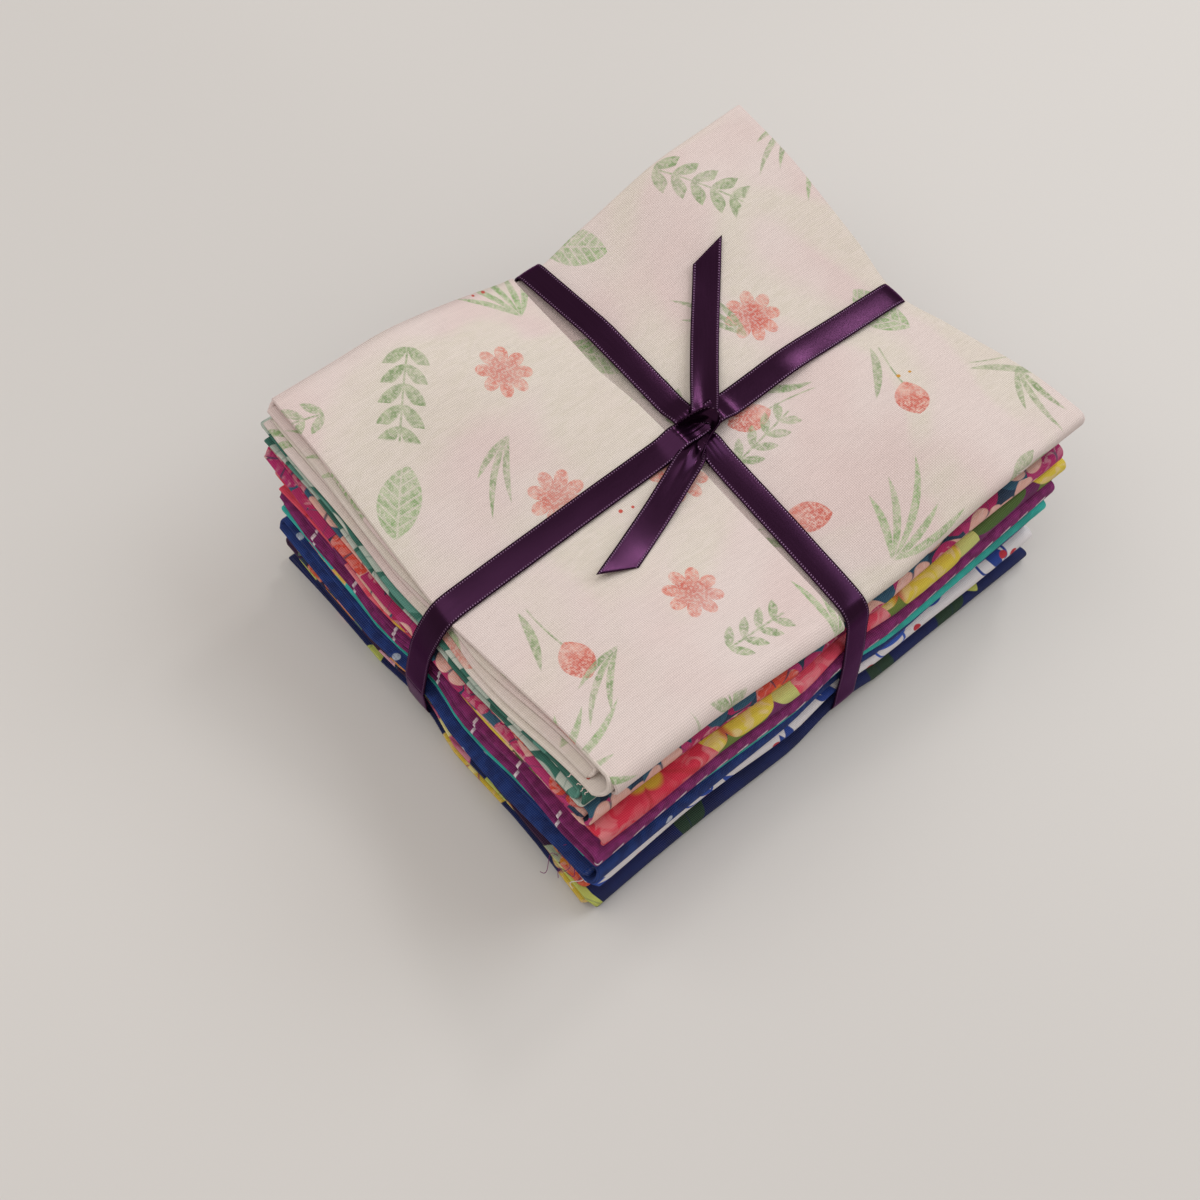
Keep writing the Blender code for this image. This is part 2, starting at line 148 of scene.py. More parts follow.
# The cloths from the top down, with the places of their edges as in the solids. Puff lifts the front
# fold of a cloth that stands out from under its neighbour. Print x and y shift its print.
CLOTH_COLUMNS = ("name", "left_near", "left_far", "right", "front_near", "front_right", "back", "puff",
                 "print_x", "print_y")
CLOTH_ROWS = (
    ("pale_pink", -69.4, -69.6, 69.8, -55.0, -56.0, 57.0, 0.0, 0.0, 0.0),
    ("teal", -71.4, -69.8, 68.4, -52.8, -54.0, 57.0, 0.0, 0.0, 0.0),
    ("magenta", -72.2, -72.4, 66.8, -55.2, -56.3, 54.2, 0.3, 406.0, 574.0),
    ("coral_floral", -71.2, -72.6, 68.4, -59.4, -57.6, 51.0, 1.2, 1247.0, 1763.0),
    ("plum_dash", -73.0, -73.2, 65.4, -60.6, -59.2, 49.5, 0.3, 0.0, 0.0),
    ("turquoise", -72.2, -73.8, 64.8, -58.8, -60.2, 48.4, 0.0, 0.0, 0.0),
    ("navy_dot", -75.0, -74.8, 62.6, -61.4, -58.8, 48.4, 0.4, 0.0, 0.0),
    ("white_cobalt", -74.2, -71.2, 62.4, -60.6, -60.8, 48.6, 0.0, 0.0, 0.0),
    ("dark_floral", -72.6, -73.6, 61.8, -58.2, -58.6, 49.0, 0.0, 0.0, 0.0),
    ("navy_floral", -73.8, -73.6, 64.2, -61.8, -61.4, 50.2, 0.3, 261.0, 369.0),
)
PUFF_REACH = 3.2

# How far short of its edge each layer of a packet ends at the left, right and back, and each ply; how far
# the inner passes end inside the front fold; how askew the passes lie; and how round a fold is
LEFT_SHORT = (0.0, 1.9, 0.5, 1.0)
TOP_LEFT_SHORT = (0.0, 1.3, 2.5, 3.6)
RIGHT_SHORT = (0.5, 0.0, 1.4, 0.2)
BACK_SHORT = (0.6, 1.8, 0.0, 0.0)
RAW_SHORT = (1.6, 2.6, 0.0, 0.0)
INNER_SHORT = 0.8
TOP_INNER_SHORT = 3.4
PASS_SKEW = 0.8
FOLD_ROUND = 0.8

# The soft waves of the folded edges and of the faces: how many make up one, the range of their lengths and
# what their sum is divided by; then the length of each, how much more the left edges wander, how far apart
# two layers' waves are and how high those of a face are
RIPPLE_COUNT = 5
RIPPLE_LENGTHS = (0.6, 1.7)
RIPPLE_SUM = 2.6
FRONT_WAVE = 60.0
LEFT_WAVE = 42.0
RIGHT_WAVE = 50.0
FACE_WAVE = 34.0
LEFT_MORE = 1.3
LAYER_APART = 9.0
FACE_UNEVEN = 0.1

# The near left corner of the top cloth, whose upper layers lift: place, reach each way and height
CORNER_X = -69.0
CORNER_Y = -50.0
CORNER_REACH = (16.0, 13.0)
CORNER_LIFT = 1.1
CORNER_LAYER = 1.6

# The loose flap of the top cloth: its free edge, as x at places along y, its gap to the cloth below, how
# much of the gap is left where it is pressed, its depth, how far it stays inside the cloth's own edges, how
# it is divided, how far round the front fold it goes in degrees, where its print starts, how its free edge
# stands up behind the side ribbon, and the lower ply's share of that
FLAP_EDGE_Y = (-60.0, -20.0, 2.0, 12.0, 24.0, 42.0, 60.0)
FLAP_EDGE_X = (-1.6, -1.4, -0.9, -1.0, -2.6, -1.4, 0.2)
FLAP_GAP = 0.35
FLAP_PRESSED = 0.6
FLAP_DEPTH = 0.75
FLAP_INSET = {"left": 0.2, "edge": 0.5, "back": 0.6, "front": -0.15, "top": 0.12}
FLAP_RUN = (-69.0, 0.0)
FLAP_STEPS = (2.6, 3.4)
FLAP_EDGE_STEPS = 6
FLAP_TOP_STEPS = 40
FLAP_WRAP = 232.0
FLAP_WRAP_STEPS = 14
FLAP_PRINT = (83.0, 41.0)
FLAP_LIFT = 1.3
FLAP_LIFT_Y = 27.0
FLAP_LIFT_REACH = (14.0, 15.0)
FLAP_LOWER_LIFT = 0.35

# How far the top cloth's face lies below the stack's top, and how far the flap's edge is blended for the
# tails that lie over it
FACE_SINK = 0.1
EDGE_BLEND = 1.2

# The knot's middle, and the middle line of the ribbon's front turn: x at places along y on top, and at
# the front and back ends of the channel underneath
KNOT_X = 4.2
KNOT_Y = -1.5
LINE_Y = (-60.0, -30.0, 0.0, 30.0, 60.0)
LINE_X = (2.0, 3.1, 4.0, 4.3, 3.7)
FOOT_Y = (-58.0, 54.0)
FOOT_X = (0.4, 3.7)
SIDE_Y = -1.4

# The ribbon's two turns: the axis that each keeps to and its place, within what reach the cloths hold it
# out, how far it lies off them, where along it the knot is, and where it rises beside the knot, as place,
# height and reach
TURN_COLUMNS = ("name", "axis", "centre", "reach", "lift", "knot", "crests")
TURN_ROWS = (
    ("ribbon_front_turn", 0, RIBBON_X, 5.0, 0.35, KNOT_Y, ((2.6, 1.0, 2.6), (-6.0, 0.9, 2.8))),
    ("ribbon_side_turn", 1, SIDE_Y, 4.2, 0.8, KNOT_X, ((-0.8, 1.5, 2.6), (10.0, 1.3, 2.8), (31.0, 0.6, 8.0))),
)

# How a turn is divided and softened, above which level it is on top, at which level the front turn's
# middle line is the one on top, and how it gathers in pleats at the knot, falls at its edges and wavers
TURN_STEP = 0.7
TURN_SOFTEN = 2
TURN_PASSES = 3
TURN_COLUMN_COUNT = 15
TOP_LEVEL = 30.0
SIDE_LEVEL = 38.0
GATHER_REACH = 5.5
GATHER_SHARE = 0.14
PLEATS = 5.0
PLEAT_HEIGHT = 0.1
EDGE_FALL = 0.12
WAVER = 0.05
WAVER_WAVE = 17.0

# Corners nearer than this, in metres, are joined
WELD = 0.00001


def rows(columns, table):
    return [dict(zip(columns, values)) for values in table]


CLOTHS = rows(CLOTH_COLUMNS, CLOTH_ROWS)
NODES = [f"cloth_{number:02}_{cloth['name']}" for number, cloth in enumerate(CLOTHS, 1)]
MOUNDS = rows(MOUND_COLUMNS, MOUND_ROWS)
CREASES = rows(CREASE_COLUMNS, CREASE_ROWS)
STACK_HEIGHT = CLOTH_PITCH * len(CLOTHS)
TOP_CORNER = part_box(NODES[0])[1] / MM
SHIFT = np.array([TOP_CORNER.x - CLOTHS[0]["right"], TOP_CORNER.y - CLOTHS[0]["back"], 0.0])


# The tied stack's shape

def toward(first, last, share):
    """The first value where the share is 0, and the last where it is 1."""
    return first + (last - first) * share


def side_share(place, half):
    """Share of the way from one side to the other."""
    return (place + half) / (2.0 * half)


def soft(distance, reach):
    """A soft bump of height 1, which is nearly gone at twice its reach."""
    return np.exp(-((distance / reach) ** 2))


def drawn_share(distance):
    """How much of the full draw-in acts at a distance from a ribbon line, softened at its bends."""
    away = (0.0, VALLEY_HALF, SHOULDER, REACH)
    share = (1.0, 1.0, SHOULDER_SHARE, 0.0)
    total = sum(np.interp(np.abs(distance + offset), away, share) for offset in SOFTEN)
    return total / len(SOFTEN)


def channel_share(distance):
    return np.interp(np.abs(distance), (VALLEY_HALF, SHOULDER), (1.0, 0.0))


def either(first, second):
    return 1.0 - (1.0 - first) * (1.0 - second)


def outward(x, y):
    return np.maximum(np.abs(x) / HALF_LENGTH, np.abs(y) / HALF_WIDTH)


def top_height(x, y):
    level = toward(TOP_LEFT, TOP_RIGHT, side_share(x, HALF_LENGTH))
    end = np.clip((np.abs(x - RIBBON_X) - REACH) / (HALF_LENGTH - REACH), 0.0, None)
    side = np.clip((np.abs(y - RIBBON_Y) - REACH) / (HALF_WIDTH - REACH), 0.0, None)
    dip = toward(DIP_MIDDLE, DIP_EDGE, outward(x, y))
    height = level + CORNER_RISE * end * side
    height = height - dip * either(drawn_share(x - RIBBON_X), drawn_share(y - RIBBON_Y))
    for mound in MOUNDS:
        away = np.hypot(x - mound["x"], y - mound["y"])
        height = height + mound["height"] * soft(away, mound["radius"])
    return height


def under_height(x, y):
    depth = toward(CHANNEL_MIDDLE, CHANNEL_EDGE, outward(x, y))
    return depth * either(channel_share(x - RIBBON_X), channel_share(y - RIBBON_Y))


def tied(x, y, z):
    """Height in the tied stack of a point at a height in the level one."""
    return toward(under_height(x, y), top_height(x, y), z / STACK_HEIGHT)


def ripple(seed, first, second, length):
    """Soft unevenness of about one either way over two coordinates, the same on each run."""
    draw = np.random.default_rng(seed)
    total = 0.0
    for _ in range(RIPPLE_COUNT):
        angle, phase = draw.uniform(0.0, math.tau, 2)
        wave = length * draw.uniform(*RIPPLE_LENGTHS)
        along = first * math.cos(angle) + second * math.sin(angle)
        total = total + np.sin(along * math.tau / wave + phase)
    return total / RIPPLE_SUM


def creased(x, y):
    """Height that the creases of the top cloth add."""
    total = 0.0
    for crease in CREASES:
        angle = math.radians(crease["angle"])
        over, off = x - crease["x"], y - crease["y"]
        along = over * math.cos(angle) + off * math.sin(angle)
        aside = off * math.cos(angle) - over * math.sin(angle)
        aside = aside - CREASE_BEND * np.sin(along / CREASE_BEND_LENGTH)
        total = total + crease["height"] * soft(along, crease["length"]) * soft(aside, crease["width"])
    return total


# The folds

def run_shares(run, centre, steps):
    """Shares of a run from its low to its high end, closer together near the ribbon line."""
    low, high = run
    fine, coarse = steps
    places = [low]
    while places[-1] < high:
        step = fine if abs(places[-1] + fine - centre) < NEAR_RIBBON else coarse
        places.append(min(high, places[-1] + step))
    if places[-1] - places[-2] < fine / 2:
        places.pop(-2)
    return [(place - low) / (high - low) for place in places]


def quarter_fold(shares, outer_steps, inner_steps):
    """A strip folded in half twice, as stations along its length.

    Each station holds the share of the run, the distance past the fold's centre and the level, both
    in pitches, the outward direction, the layer that it is nearest to, and 1 if it is an inner one.
    """
    last = PASSES - 1.0
    found = [(share, 0.0, -OUTER, 0.0, -1.0, 0.0, 0.0) for share in reversed(shares)]
    for step in range(1, outer_steps):
        part = step / outer_steps
        past, level, *out = nose(-90.0 - 180.0 * part, OUTER)
        found.append((0.0, past, level, *out, last * part, 0.0))
    found += [(share, 0.0, OUTER, 0.0, 1.0, last, 0.0) for share in shares]
    for step in range(1, inner_steps):
        part = step / inner_steps
        past, level, *out = nose(90.0 - 180.0 * part, INNER)
        found.append((1.0, past, 1.0 + level, *out, last - part, part))
    found += [(share, 0.0, INNER, 0.0, -1.0, last - 1.0, 1.0) for share in reversed(shares)]
    for step in range(1, inner_steps):
        part = step / inner_steps
        past, level, *out = nose(90.0 + 180.0 * part, INNER)
        found.append((0.0, past, level, -out[0], -out[1], last - 1.0 - part, 1.0))
    found += [(share, 0.0, -INNER, 0.0, 1.0, 1.0, 1.0) for share in shares]
    names = ("share", "past", "level", "out_past", "out_level", "layer", "inner")
    return dict(zip(names, np.array(found).T))


def nose(degrees, radius):
    """A point of a fold that is a little squarer than round, and its outward direction."""
    angle = math.radians(degrees)
    turned = np.array([math.cos(angle), math.sin(angle)])
    place = radius * np.sign(turned) * np.abs(turned) ** FOLD_ROUND
    out = np.sign(turned) * np.abs(turned) ** (2.0 - FOLD_ROUND)
    return (*place, *(out / np.linalg.norm(out)))


def by_layer(fold, values):
    """A value for each layer. The outer fold goes from the first value straight to the last."""
    outer = toward(values[0], values[-1], fold["layer"] / (PASSES - 1))
    return toward(outer, np.interp(fold["layer"], range(PASSES), values), fold["inner"])


def unit(vectors):
    """The vectors, each at length 1."""
    return vectors / np.linalg.norm(vectors, axis=1)[:, None]


def directions(path):
    """Ahead, level to the side and above at each point of a path."""
    ahead = unit(np.gradient(path, axis=0))
    level = unit(np.cross(ahead, [0.0, 0.0, 1.0]))
    return ahead, level, np.cross(level, ahead)


def distances(places):
    """Length along a line of points, from its start."""
    steps = np.linalg.norm(np.diff(places, axis=0), axis=1)
    return np.concatenate([[0.0], np.cumsum(steps)])


def packet(number, sizes):
    """One folded cloth: its corners as rows along the long fold by columns across, and flat places."""
    cloth = CLOTHS[number]
    is_top = number == 0
    seed = 100 * (number + 1)
    uneven = sizes.unevenness / MM
    ply = sizes.ply_pitch / MM
    stack = OUTER * ply + sizes.thickness / MM / 2.0
    steps = TOP_STEPS if is_top else LOWER_STEPS
    u = quarter_fold(run_shares(RUN_X, RIBBON_X, steps), *CROSS_FOLD_STEPS)
    v = quarter_fold(run_shares(RUN_Y, RIBBON_Y, steps), *LONG_FOLD_STEPS)
    v = {name: values[:, None] for name, values in v.items()}

    nominal_x = toward(*RUN_X, u["share"])
    pull = EDGE_PULL * channel_share(nominal_x - RIBBON_X)
    front = toward(cloth["front_near"], cloth["front_right"], side_share(nominal_x, HALF_LENGTH)) + pull
    front = front + uneven * ripple(seed, nominal_x, 0.0 * nominal_x, FRONT_WAVE)
    back = cloth["back"] - pull - by_layer(v, BACK_SHORT) * v["share"]
    fold_y = front + OUTER * PASS_PITCH + stack
    back_y = back - INNER * PASS_PITCH - stack
    y = toward(fold_y, back_y, v["share"]) + v["past"] * PASS_PITCH
    inner_short = TOP_INNER_SHORT if is_top else INNER_SHORT
    y = y + inner_short * v["inner"] * (1.0 - v["share"]) ** 8
    base = STACK_HEIGHT - CLOTH_PITCH * (number + 1)
    z = base + CLOTH_PITCH / 2.0 + v["level"] * PASS_PITCH
    offset = (u["level"] * ply)[None, :]
    y = y + offset * v["out_past"]
    z = z + offset * v["out_level"]

    lean = side_share(y, HALF_WIDTH)
    pull = EDGE_PULL * channel_share(y - RIBBON_Y)
    apart = LAYER_APART * v["layer"]
    skew = np.random.default_rng(seed + 5).uniform(-PASS_SKEW, PASS_SKEW, PASSES)
    left = toward(cloth["left_near"], cloth["left_far"], lean) + pull + stack
    left = left + by_layer(v, TOP_LEFT_SHORT if is_top else np.roll(LEFT_SHORT, number))
    left = left + LEFT_MORE * uneven * ripple(seed + 7, y, apart, LEFT_WAVE)
    left = left + by_layer(v, skew) * (2.0 * lean - 1.0)
    right = cloth["right"] - pull - by_layer(v, np.roll(RIGHT_SHORT, number)) - stack
    right = right + uneven * ripple(seed + 9, y, apart, RIGHT_WAVE)
    x = toward(left, right, u["share"]) + u["past"] * ply
    x = x - by_layer(u, RAW_SHORT) * u["share"] ** 6

    rise = (z - base) / CLOTH_PITCH
    z = z + cloth["puff"] * rise * soft(y - front, PUFF_REACH)
    if is_top:
        corner = soft(x - CORNER_X, CORNER_REACH[0]) * soft(y - CORNER_Y, CORNER_REACH[1])
        upper = (1.0 - v["inner"]) * np.clip(v["layer"] - CORNER_LAYER, 0.0, 1.0)
        z = z + (CORNER_LIFT * corner * upper + creased(x, y)) * rise
    z = z + FACE_UNEVEN * ripple(seed + 3, x, y, FACE_WAVE)
    level = np.stack([x, y, z], axis=2)
    flat_v = distances(level[:, level.shape[1] // 2])
    flat_u = distances(level[level.shape[0] // 2])
    return np.stack([x, y, tied(x, y, z)], axis=2), np.stack(np.meshgrid(flat_u, flat_v), axis=2)


def new_mesh(*patches):
    """A bmesh with a grid for each patch, which is an array of places and one of flat places."""
    mesh = bmesh.new()
    mesh.loops.layers.uv.new("flat")
    for points, flat in patches:
        add_patch(mesh, points, flat)
    return mesh


def add_patch(mesh, points, flat):
    """A bmesh grid whose corners are moved to the given places, with flat places as its UV map."""
    count, columns = points.shape[:2]
    made = bmesh.ops.create_grid(mesh, x_segments=columns - 1, y_segments=count - 1, size=1.0)
    layer = mesh.loops.layers.uv.active
    places = ((points + SHIFT) * MM).reshape(-1, 3)
    for corner, place, spread in zip(made["verts"], places, flat.reshape(-1, 2)):
        corner.co = place
        for loop in corner.link_loops:
            loop[layer].uv = spread


def placed(name, data):
    made = bpy.data.objects.new(name, data)
    bpy.context.scene.collection.objects.link(made)
    return made


def shaped(name, mesh, material):
    """An object of the finished mesh, with its material."""
    data = bpy.data.meshes.new(name)
    mesh.to_mesh(data)
    mesh.free()
    data.materials.append(material)
    return placed(name, data)


def piece(name, mesh, material, node="", thickness=0.0):
    """Makes the object, gives it its finish, and has it move with the bundle and stand for its solid."""
    made = shaped(name, mesh, material)
    made.data.shade_smooth()
    if thickness:
        shell = made.modifiers.new("thickness", "SOLIDIFY")
        shell.thickness = thickness
        shell.offset = 0.0
        shell.use_even_offset = False
    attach(made, "root")
    if node:
        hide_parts(node)
    return made


# Shader sums

def operation(name):
    """A method that puts its value, and any others, into one Math node."""
    def method(*values):
        return values[0].node("ShaderNodeMath", {"operation": name}, dict(enumerate(values)))
    return method


def connect(tree, node, values):
    """Links each input of a node to its shader value, or sets it to the plain one."""
    for key, value in values.items():
        if isinstance(value, Value):
            tree.links.new(value.socket, node.inputs[key])
        else:
            node.inputs[key].default_value = value


class Value:
    """One shader value. Sums on it add Math nodes, and node() adds any other node."""

    def __init__(self, tree, socket):
        self.tree = tree
        self.socket = socket

    def node(self, kind, settings, values, output=0):
        made = self.tree.nodes.new(kind)
        for name, value in settings.items():
            if name == "stops":
                set_stops(made.color_ramp, value)
            else:
                setattr(made, name, value)
        connect(self.tree, made, values)
        return Value(self.tree, made.outputs[output])

    def other(self, output):
        return Value(self.tree, self.socket.node.outputs[output])

    __add__ = __radd__ = operation("ADD")
    __sub__ = operation("SUBTRACT")
    __mul__ = __rmul__ = operation("MULTIPLY")
    __truediv__ = operation("DIVIDE")
    __pow__ = operation("POWER")
    __abs__ = operation("ABSOLUTE")
    most = operation("MAXIMUM")
    least = operation("MINIMUM")
    sine = operation("SINE")
    cosine = operation("COSINE")
    arctan = operation("ARCTAN2")
    part = operation("FRACT")
    whole = operation("FLOOR")
    over = operation("GREATER_THAN")
    under = operation("LESS_THAN")

    def __rsub__(self, other):
        return self.node("ShaderNodeMath", {"operation": "SUBTRACT"}, {0: other, 1: self})

    def step(self, low, high):
        """From 0 at low to 1 at high, smoothly."""
        settings = {"interpolation_type": "SMOOTHSTEP"}
        values = {"Value": self, "From Min": low, "From Max": high}
        return self.node("ShaderNodeMapRange", settings, values)

    def mix(self, first, second):
        """The first colour where this is 0 and the second where it is 1."""
        values = {0: self, 6: first, 7: second}
        return self.node("ShaderNodeMix", {"data_type": "RGBA", "clamp_factor": True}, values, 2)

    def noise(self, scale, detail=2.0, distortion=0.0):
        values = {"Vector": self, "Scale": scale, "Detail": detail, "Distortion": distortion}
        return self.node("ShaderNodeTexNoise", {"noise_dimensions": "2D"}, values)

    def scaled(self, x, y):
        values = {0: self, 1: (x, y, 1.0)}
        return self.node("ShaderNodeVectorMath", {"operation": "MULTIPLY"}, values)

    def moved(self, x, y):
        values = {0: self, 1: (x, y, 0.0)}
        return self.node("ShaderNodeVectorMath", {"operation": "ADD"}, values)

    def turned(self, angle):
        values = {"Vector": self, "Angle": angle}
        return self.node("ShaderNodeVectorRotate", {"rotation_type": "Z_AXIS"}, values)

    def parts(self):
        split = self.node("ShaderNodeSeparateXYZ", {}, {0: self})
        return split, split.other(1), split.other(2)

    def bump(self, strength, distance):
        values = {"Height": self, "Strength": strength, "Distance": distance}
        return self.node("ShaderNodeBump", {}, values)


def set_stops(ramp, colours):
    """Even bands of the given colours, with no blend between them."""
    ramp.interpolation = "CONSTANT"
    while len(ramp.elements) < len(colours):
        ramp.elements.new(1.0)
    for index, colour in enumerate(colours):
        ramp.elements[index].position = index / len(colours)
        ramp.elements[index].color = colour


def ink(code):
    """A colour written as six hexadecimal digits, in linear light."""
    shares = [int(code[start:start + 2], 16) / 255.0 for start in (0, 2, 4)]
    linear = [share / 12.92 if share <= 0.04045 else ((share + 0.055) / 1.055) ** 2.4 for share in shares]
    return (*linear, 1.0)


def pick(value, codes):
    """One of several colours, by a random share."""
    return value.node("ShaderNodeValToRGB", {"stops": [ink(code) for code in codes]}, {0: value})


# Printed motifs, in millimetres on the flat cloth

def scatter(flat, spacing, jitter, shift=(0.0, 0.0)):
    """A spot in every cell: x and y around it, turned at random, and two random shares."""
    flat = flat.moved(*shift)
    values = {"Vector": flat, "Scale": 1.0 / spacing, "Randomness": jitter}
    cell = flat.node("ShaderNodeTexVoronoi", {"voronoi_dimensions": "2D"}, values, "Position")
    values = {0: flat, 1: cell}
    local = flat.node("ShaderNodeVectorMath", {"operation": "SUBTRACT"}, values)
    first, second, third = cell.other("Color").parts()
    x, y, _ = local.turned(first * math.tau).parts()
    return x, y, second, third


def leaning(flat, angle, spacing, jitter, shift):
    """Spots in cells whose grid is turned by an angle, so that their rows don't follow the threads."""
    return scatter(flat.turned(angle), spacing, jitter, shift)


def leaf(x, y, length, width, bend=0.0):
    """A pointed leaf from the spot up to its length, as a mask."""
    share = y / length
    if bend:
        x = x - share * share * bend
    bulge = (share * (1.0 - share) * 4.0).most(0.0) ** 0.75
    return (bulge * (width / 2.0) - abs(x)).step(0.0, 0.3)


def away_from(x, y):
    return (x * x + y * y) ** 0.5


def polar(x, y):
    return away_from(x, y), x.arctan(y)


def spot(x, y, radius, blur):
    """A round dot, as a mask."""
    return (radius - away_from(x, y)).step(0.0, blur)


def blossom(x, y, radius, petals, depth):
    """A flower of round petals: its mask, the share from its middle to its rim and its petal lines."""
    away, angle = polar(x, y)
    lobe = abs((angle * (petals / 2.0)).cosine())
    reach = (lobe ** 0.55 * depth + (1.0 - depth)) * radius
    return (reach - away).step(0.0, 0.35), away / reach, lobe


def tuft(x, y, length, width, step, count):
    """Narrow blades of several lengths that spread from one foot."""
    away, angle = polar(x, y)
    angle = angle + away * 0.02
    number = (angle / step + 0.5).whole().most(-float(count)).least(float(count))
    local = angle - number * step
    reach = ((number * 2.1 + 0.4).cosine() * 0.2 + 0.8) * length
    return leaf(local.sine() * away, local.cosine() * away, reach, width)


def sprig(x, y, length, pitch, leaf_length, leaf_width):
    """A stem with leaves in pairs."""
    side = abs(x)
    along = (y / pitch).part() * pitch
    lean = math.radians(42.0)
    out = side * math.sin(lean) + along * math.cos(lean)
    off = side * math.cos(lean) - along * math.sin(lean)
    held = y.step(0.0, 0.4) * (length - y).step(0.0, 0.6)
    stem = (0.32 - side).step(0.0, 0.25) * held
    return (leaf(off, out, leaf_length, leaf_width) * held).most(stem)


def patchy(flat, scale, first, second):
    """A ground of two close colours in soft patches."""
    return flat.noise(scale, 3.0).step(0.3, 0.7).mix(ink(first), ink(second))


def stippled(flat, mask, amount, scale=1.8):
    """The mask with small gaps, as where ink misses the hollows between threads."""
    grain = flat.noise(scale, 2.0)
    fade = flat.noise(0.16, 2.0).step(0.3, 0.7) * 0.3 + 0.7
    return mask * (1.0 - amount * grain.step(0.48, 0.6)) * fade


def between(value, low, high):
    """1 where the random share falls in the range, and 0 elsewhere."""
    return value.over(low) * value.under(high)


BOTANICAL_SCALE = 0.82


def pale_botanical(flat):
    """Pale pink with cream washes, leaves in several greens and small coral flowers."""
    flat = flat.scaled(BOTANICAL_SCALE, BOTANICAL_SCALE)
    cloud = flat.noise(0.02, 2.0, 0.8).step(0.48, 0.62)
    brush = flat.scaled(0.3, 1.0).noise(0.5, 4.0, 1.6).step(0.3, 0.75)
    colour = (flat.noise(0.04, 2.0).step(0.35, 0.75) * 0.7).mix(ink("e8dad6"), ink("e5d0cd"))
    colour = (cloud * 0.7).mix(colour, ink("e6dfd3"))
    colour = (cloud * brush * 0.35).mix(colour, ink("d8d1c0"))
    grain = flat.noise(0.6, 4.0).step(0.35, 0.65)
    fresh = grain.mix(ink("8fb077"), ink("b9c9a2"))
    muted = grain.mix(ink("8ea578"), ink("b9c3a2"))
    coral = grain.mix(ink("dd8374"), ink("ebb5a7"))
    x, y, kind, _ = leaning(flat, 0.5, 25.0, 0.34, (11.0, 4.0))
    low = y + 9.5
    blades = tuft(x, low, 20.0, 1.7, 0.33, 2) * between(kind, 0.3, 0.56)
    broad = leaf(x, y + 6.5, 13.5, 8.0, 1.5) * between(kind, -1.0, 0.17)
    ribs = ((y - abs(x) * 0.8) / 1.9).part() - 0.5
    ribs = (0.16 - abs(ribs)).step(0.0, 0.1).most((0.3 - abs(x - 0.4)).step(0.0, 0.2))
    fern = sprig(x, low, 19.0, 4.0, 6.6, 2.7) * between(kind, 0.56, 0.8)
    colour = stippled(flat, blades.most(broad * (1.0 - ribs * 0.6)), 0.45).mix(colour, fresh)
    colour = stippled(flat, fern, 0.4).mix(colour, muted)
    bloom, share, lobe = blossom(x, y, 5.6, 8.0, 0.5)
    bloom = bloom * between(kind, 0.17, 0.3)
    petal = (share * 1.2).mix(ink("cf5b4e"), coral)
    petal = (lobe.step(0.0, 0.4) * 0.8 + 0.2).mix(ink("cf6a5e"), petal)
    colour = stippled(flat, bloom, 0.45).mix(colour, petal)
    last = between(kind, 0.8, 2.0)
    held = low.step(0.0, 1.0) * (11.0 - low).step(0.0, 1.0)
    stem = (0.3 - abs(x + low * low * 0.012)).step(0.0, 0.3) * held
    blade = leaf(x - 1.5, low, 13.0, 2.0, 3.0)
    colour = stippled(flat, stem.most(blade) * last, 0.4).mix(colour, muted)
    bud = leaf(x + 1.6, y - 0.5, 8.6, 6.2) * last
    tip = bud * y.step(2.0, 6.0) * flat.noise(2.0, 2.0).step(0.45, 0.55)
    colour = stippled(flat, bud, 0.3).mix(colour, coral)
    colour = (tip * 0.7).mix(colour, ink("cf5b4e"))
    x, y, kind, tone = leaning(flat, 1.1, 33.0, 0.6, (3.0, 31.0))
    spray = tuft(x, y + 8.0, 17.0, 1.5, 0.27, 1) * between(kind, 0.2, 0.6)
    spray = spray.most(sprig(x, y + 8.0, 14.0, 3.6, 4.8, 2.0) * between(kind, 0.6, 0.85))
    colour = stippled(flat, spray, 0.5).mix(colour, muted)
    speck = spot(x, y, 0.5, 0.2).most(spot(x - 2.0, y - 1.2, 0.4, 0.2)) * between(kind, -1.0, 0.2)
    return speck.mix(colour, pick(tone, ("cf5a4e", "cf5a4e", "d39a3b", "3a3a36")))


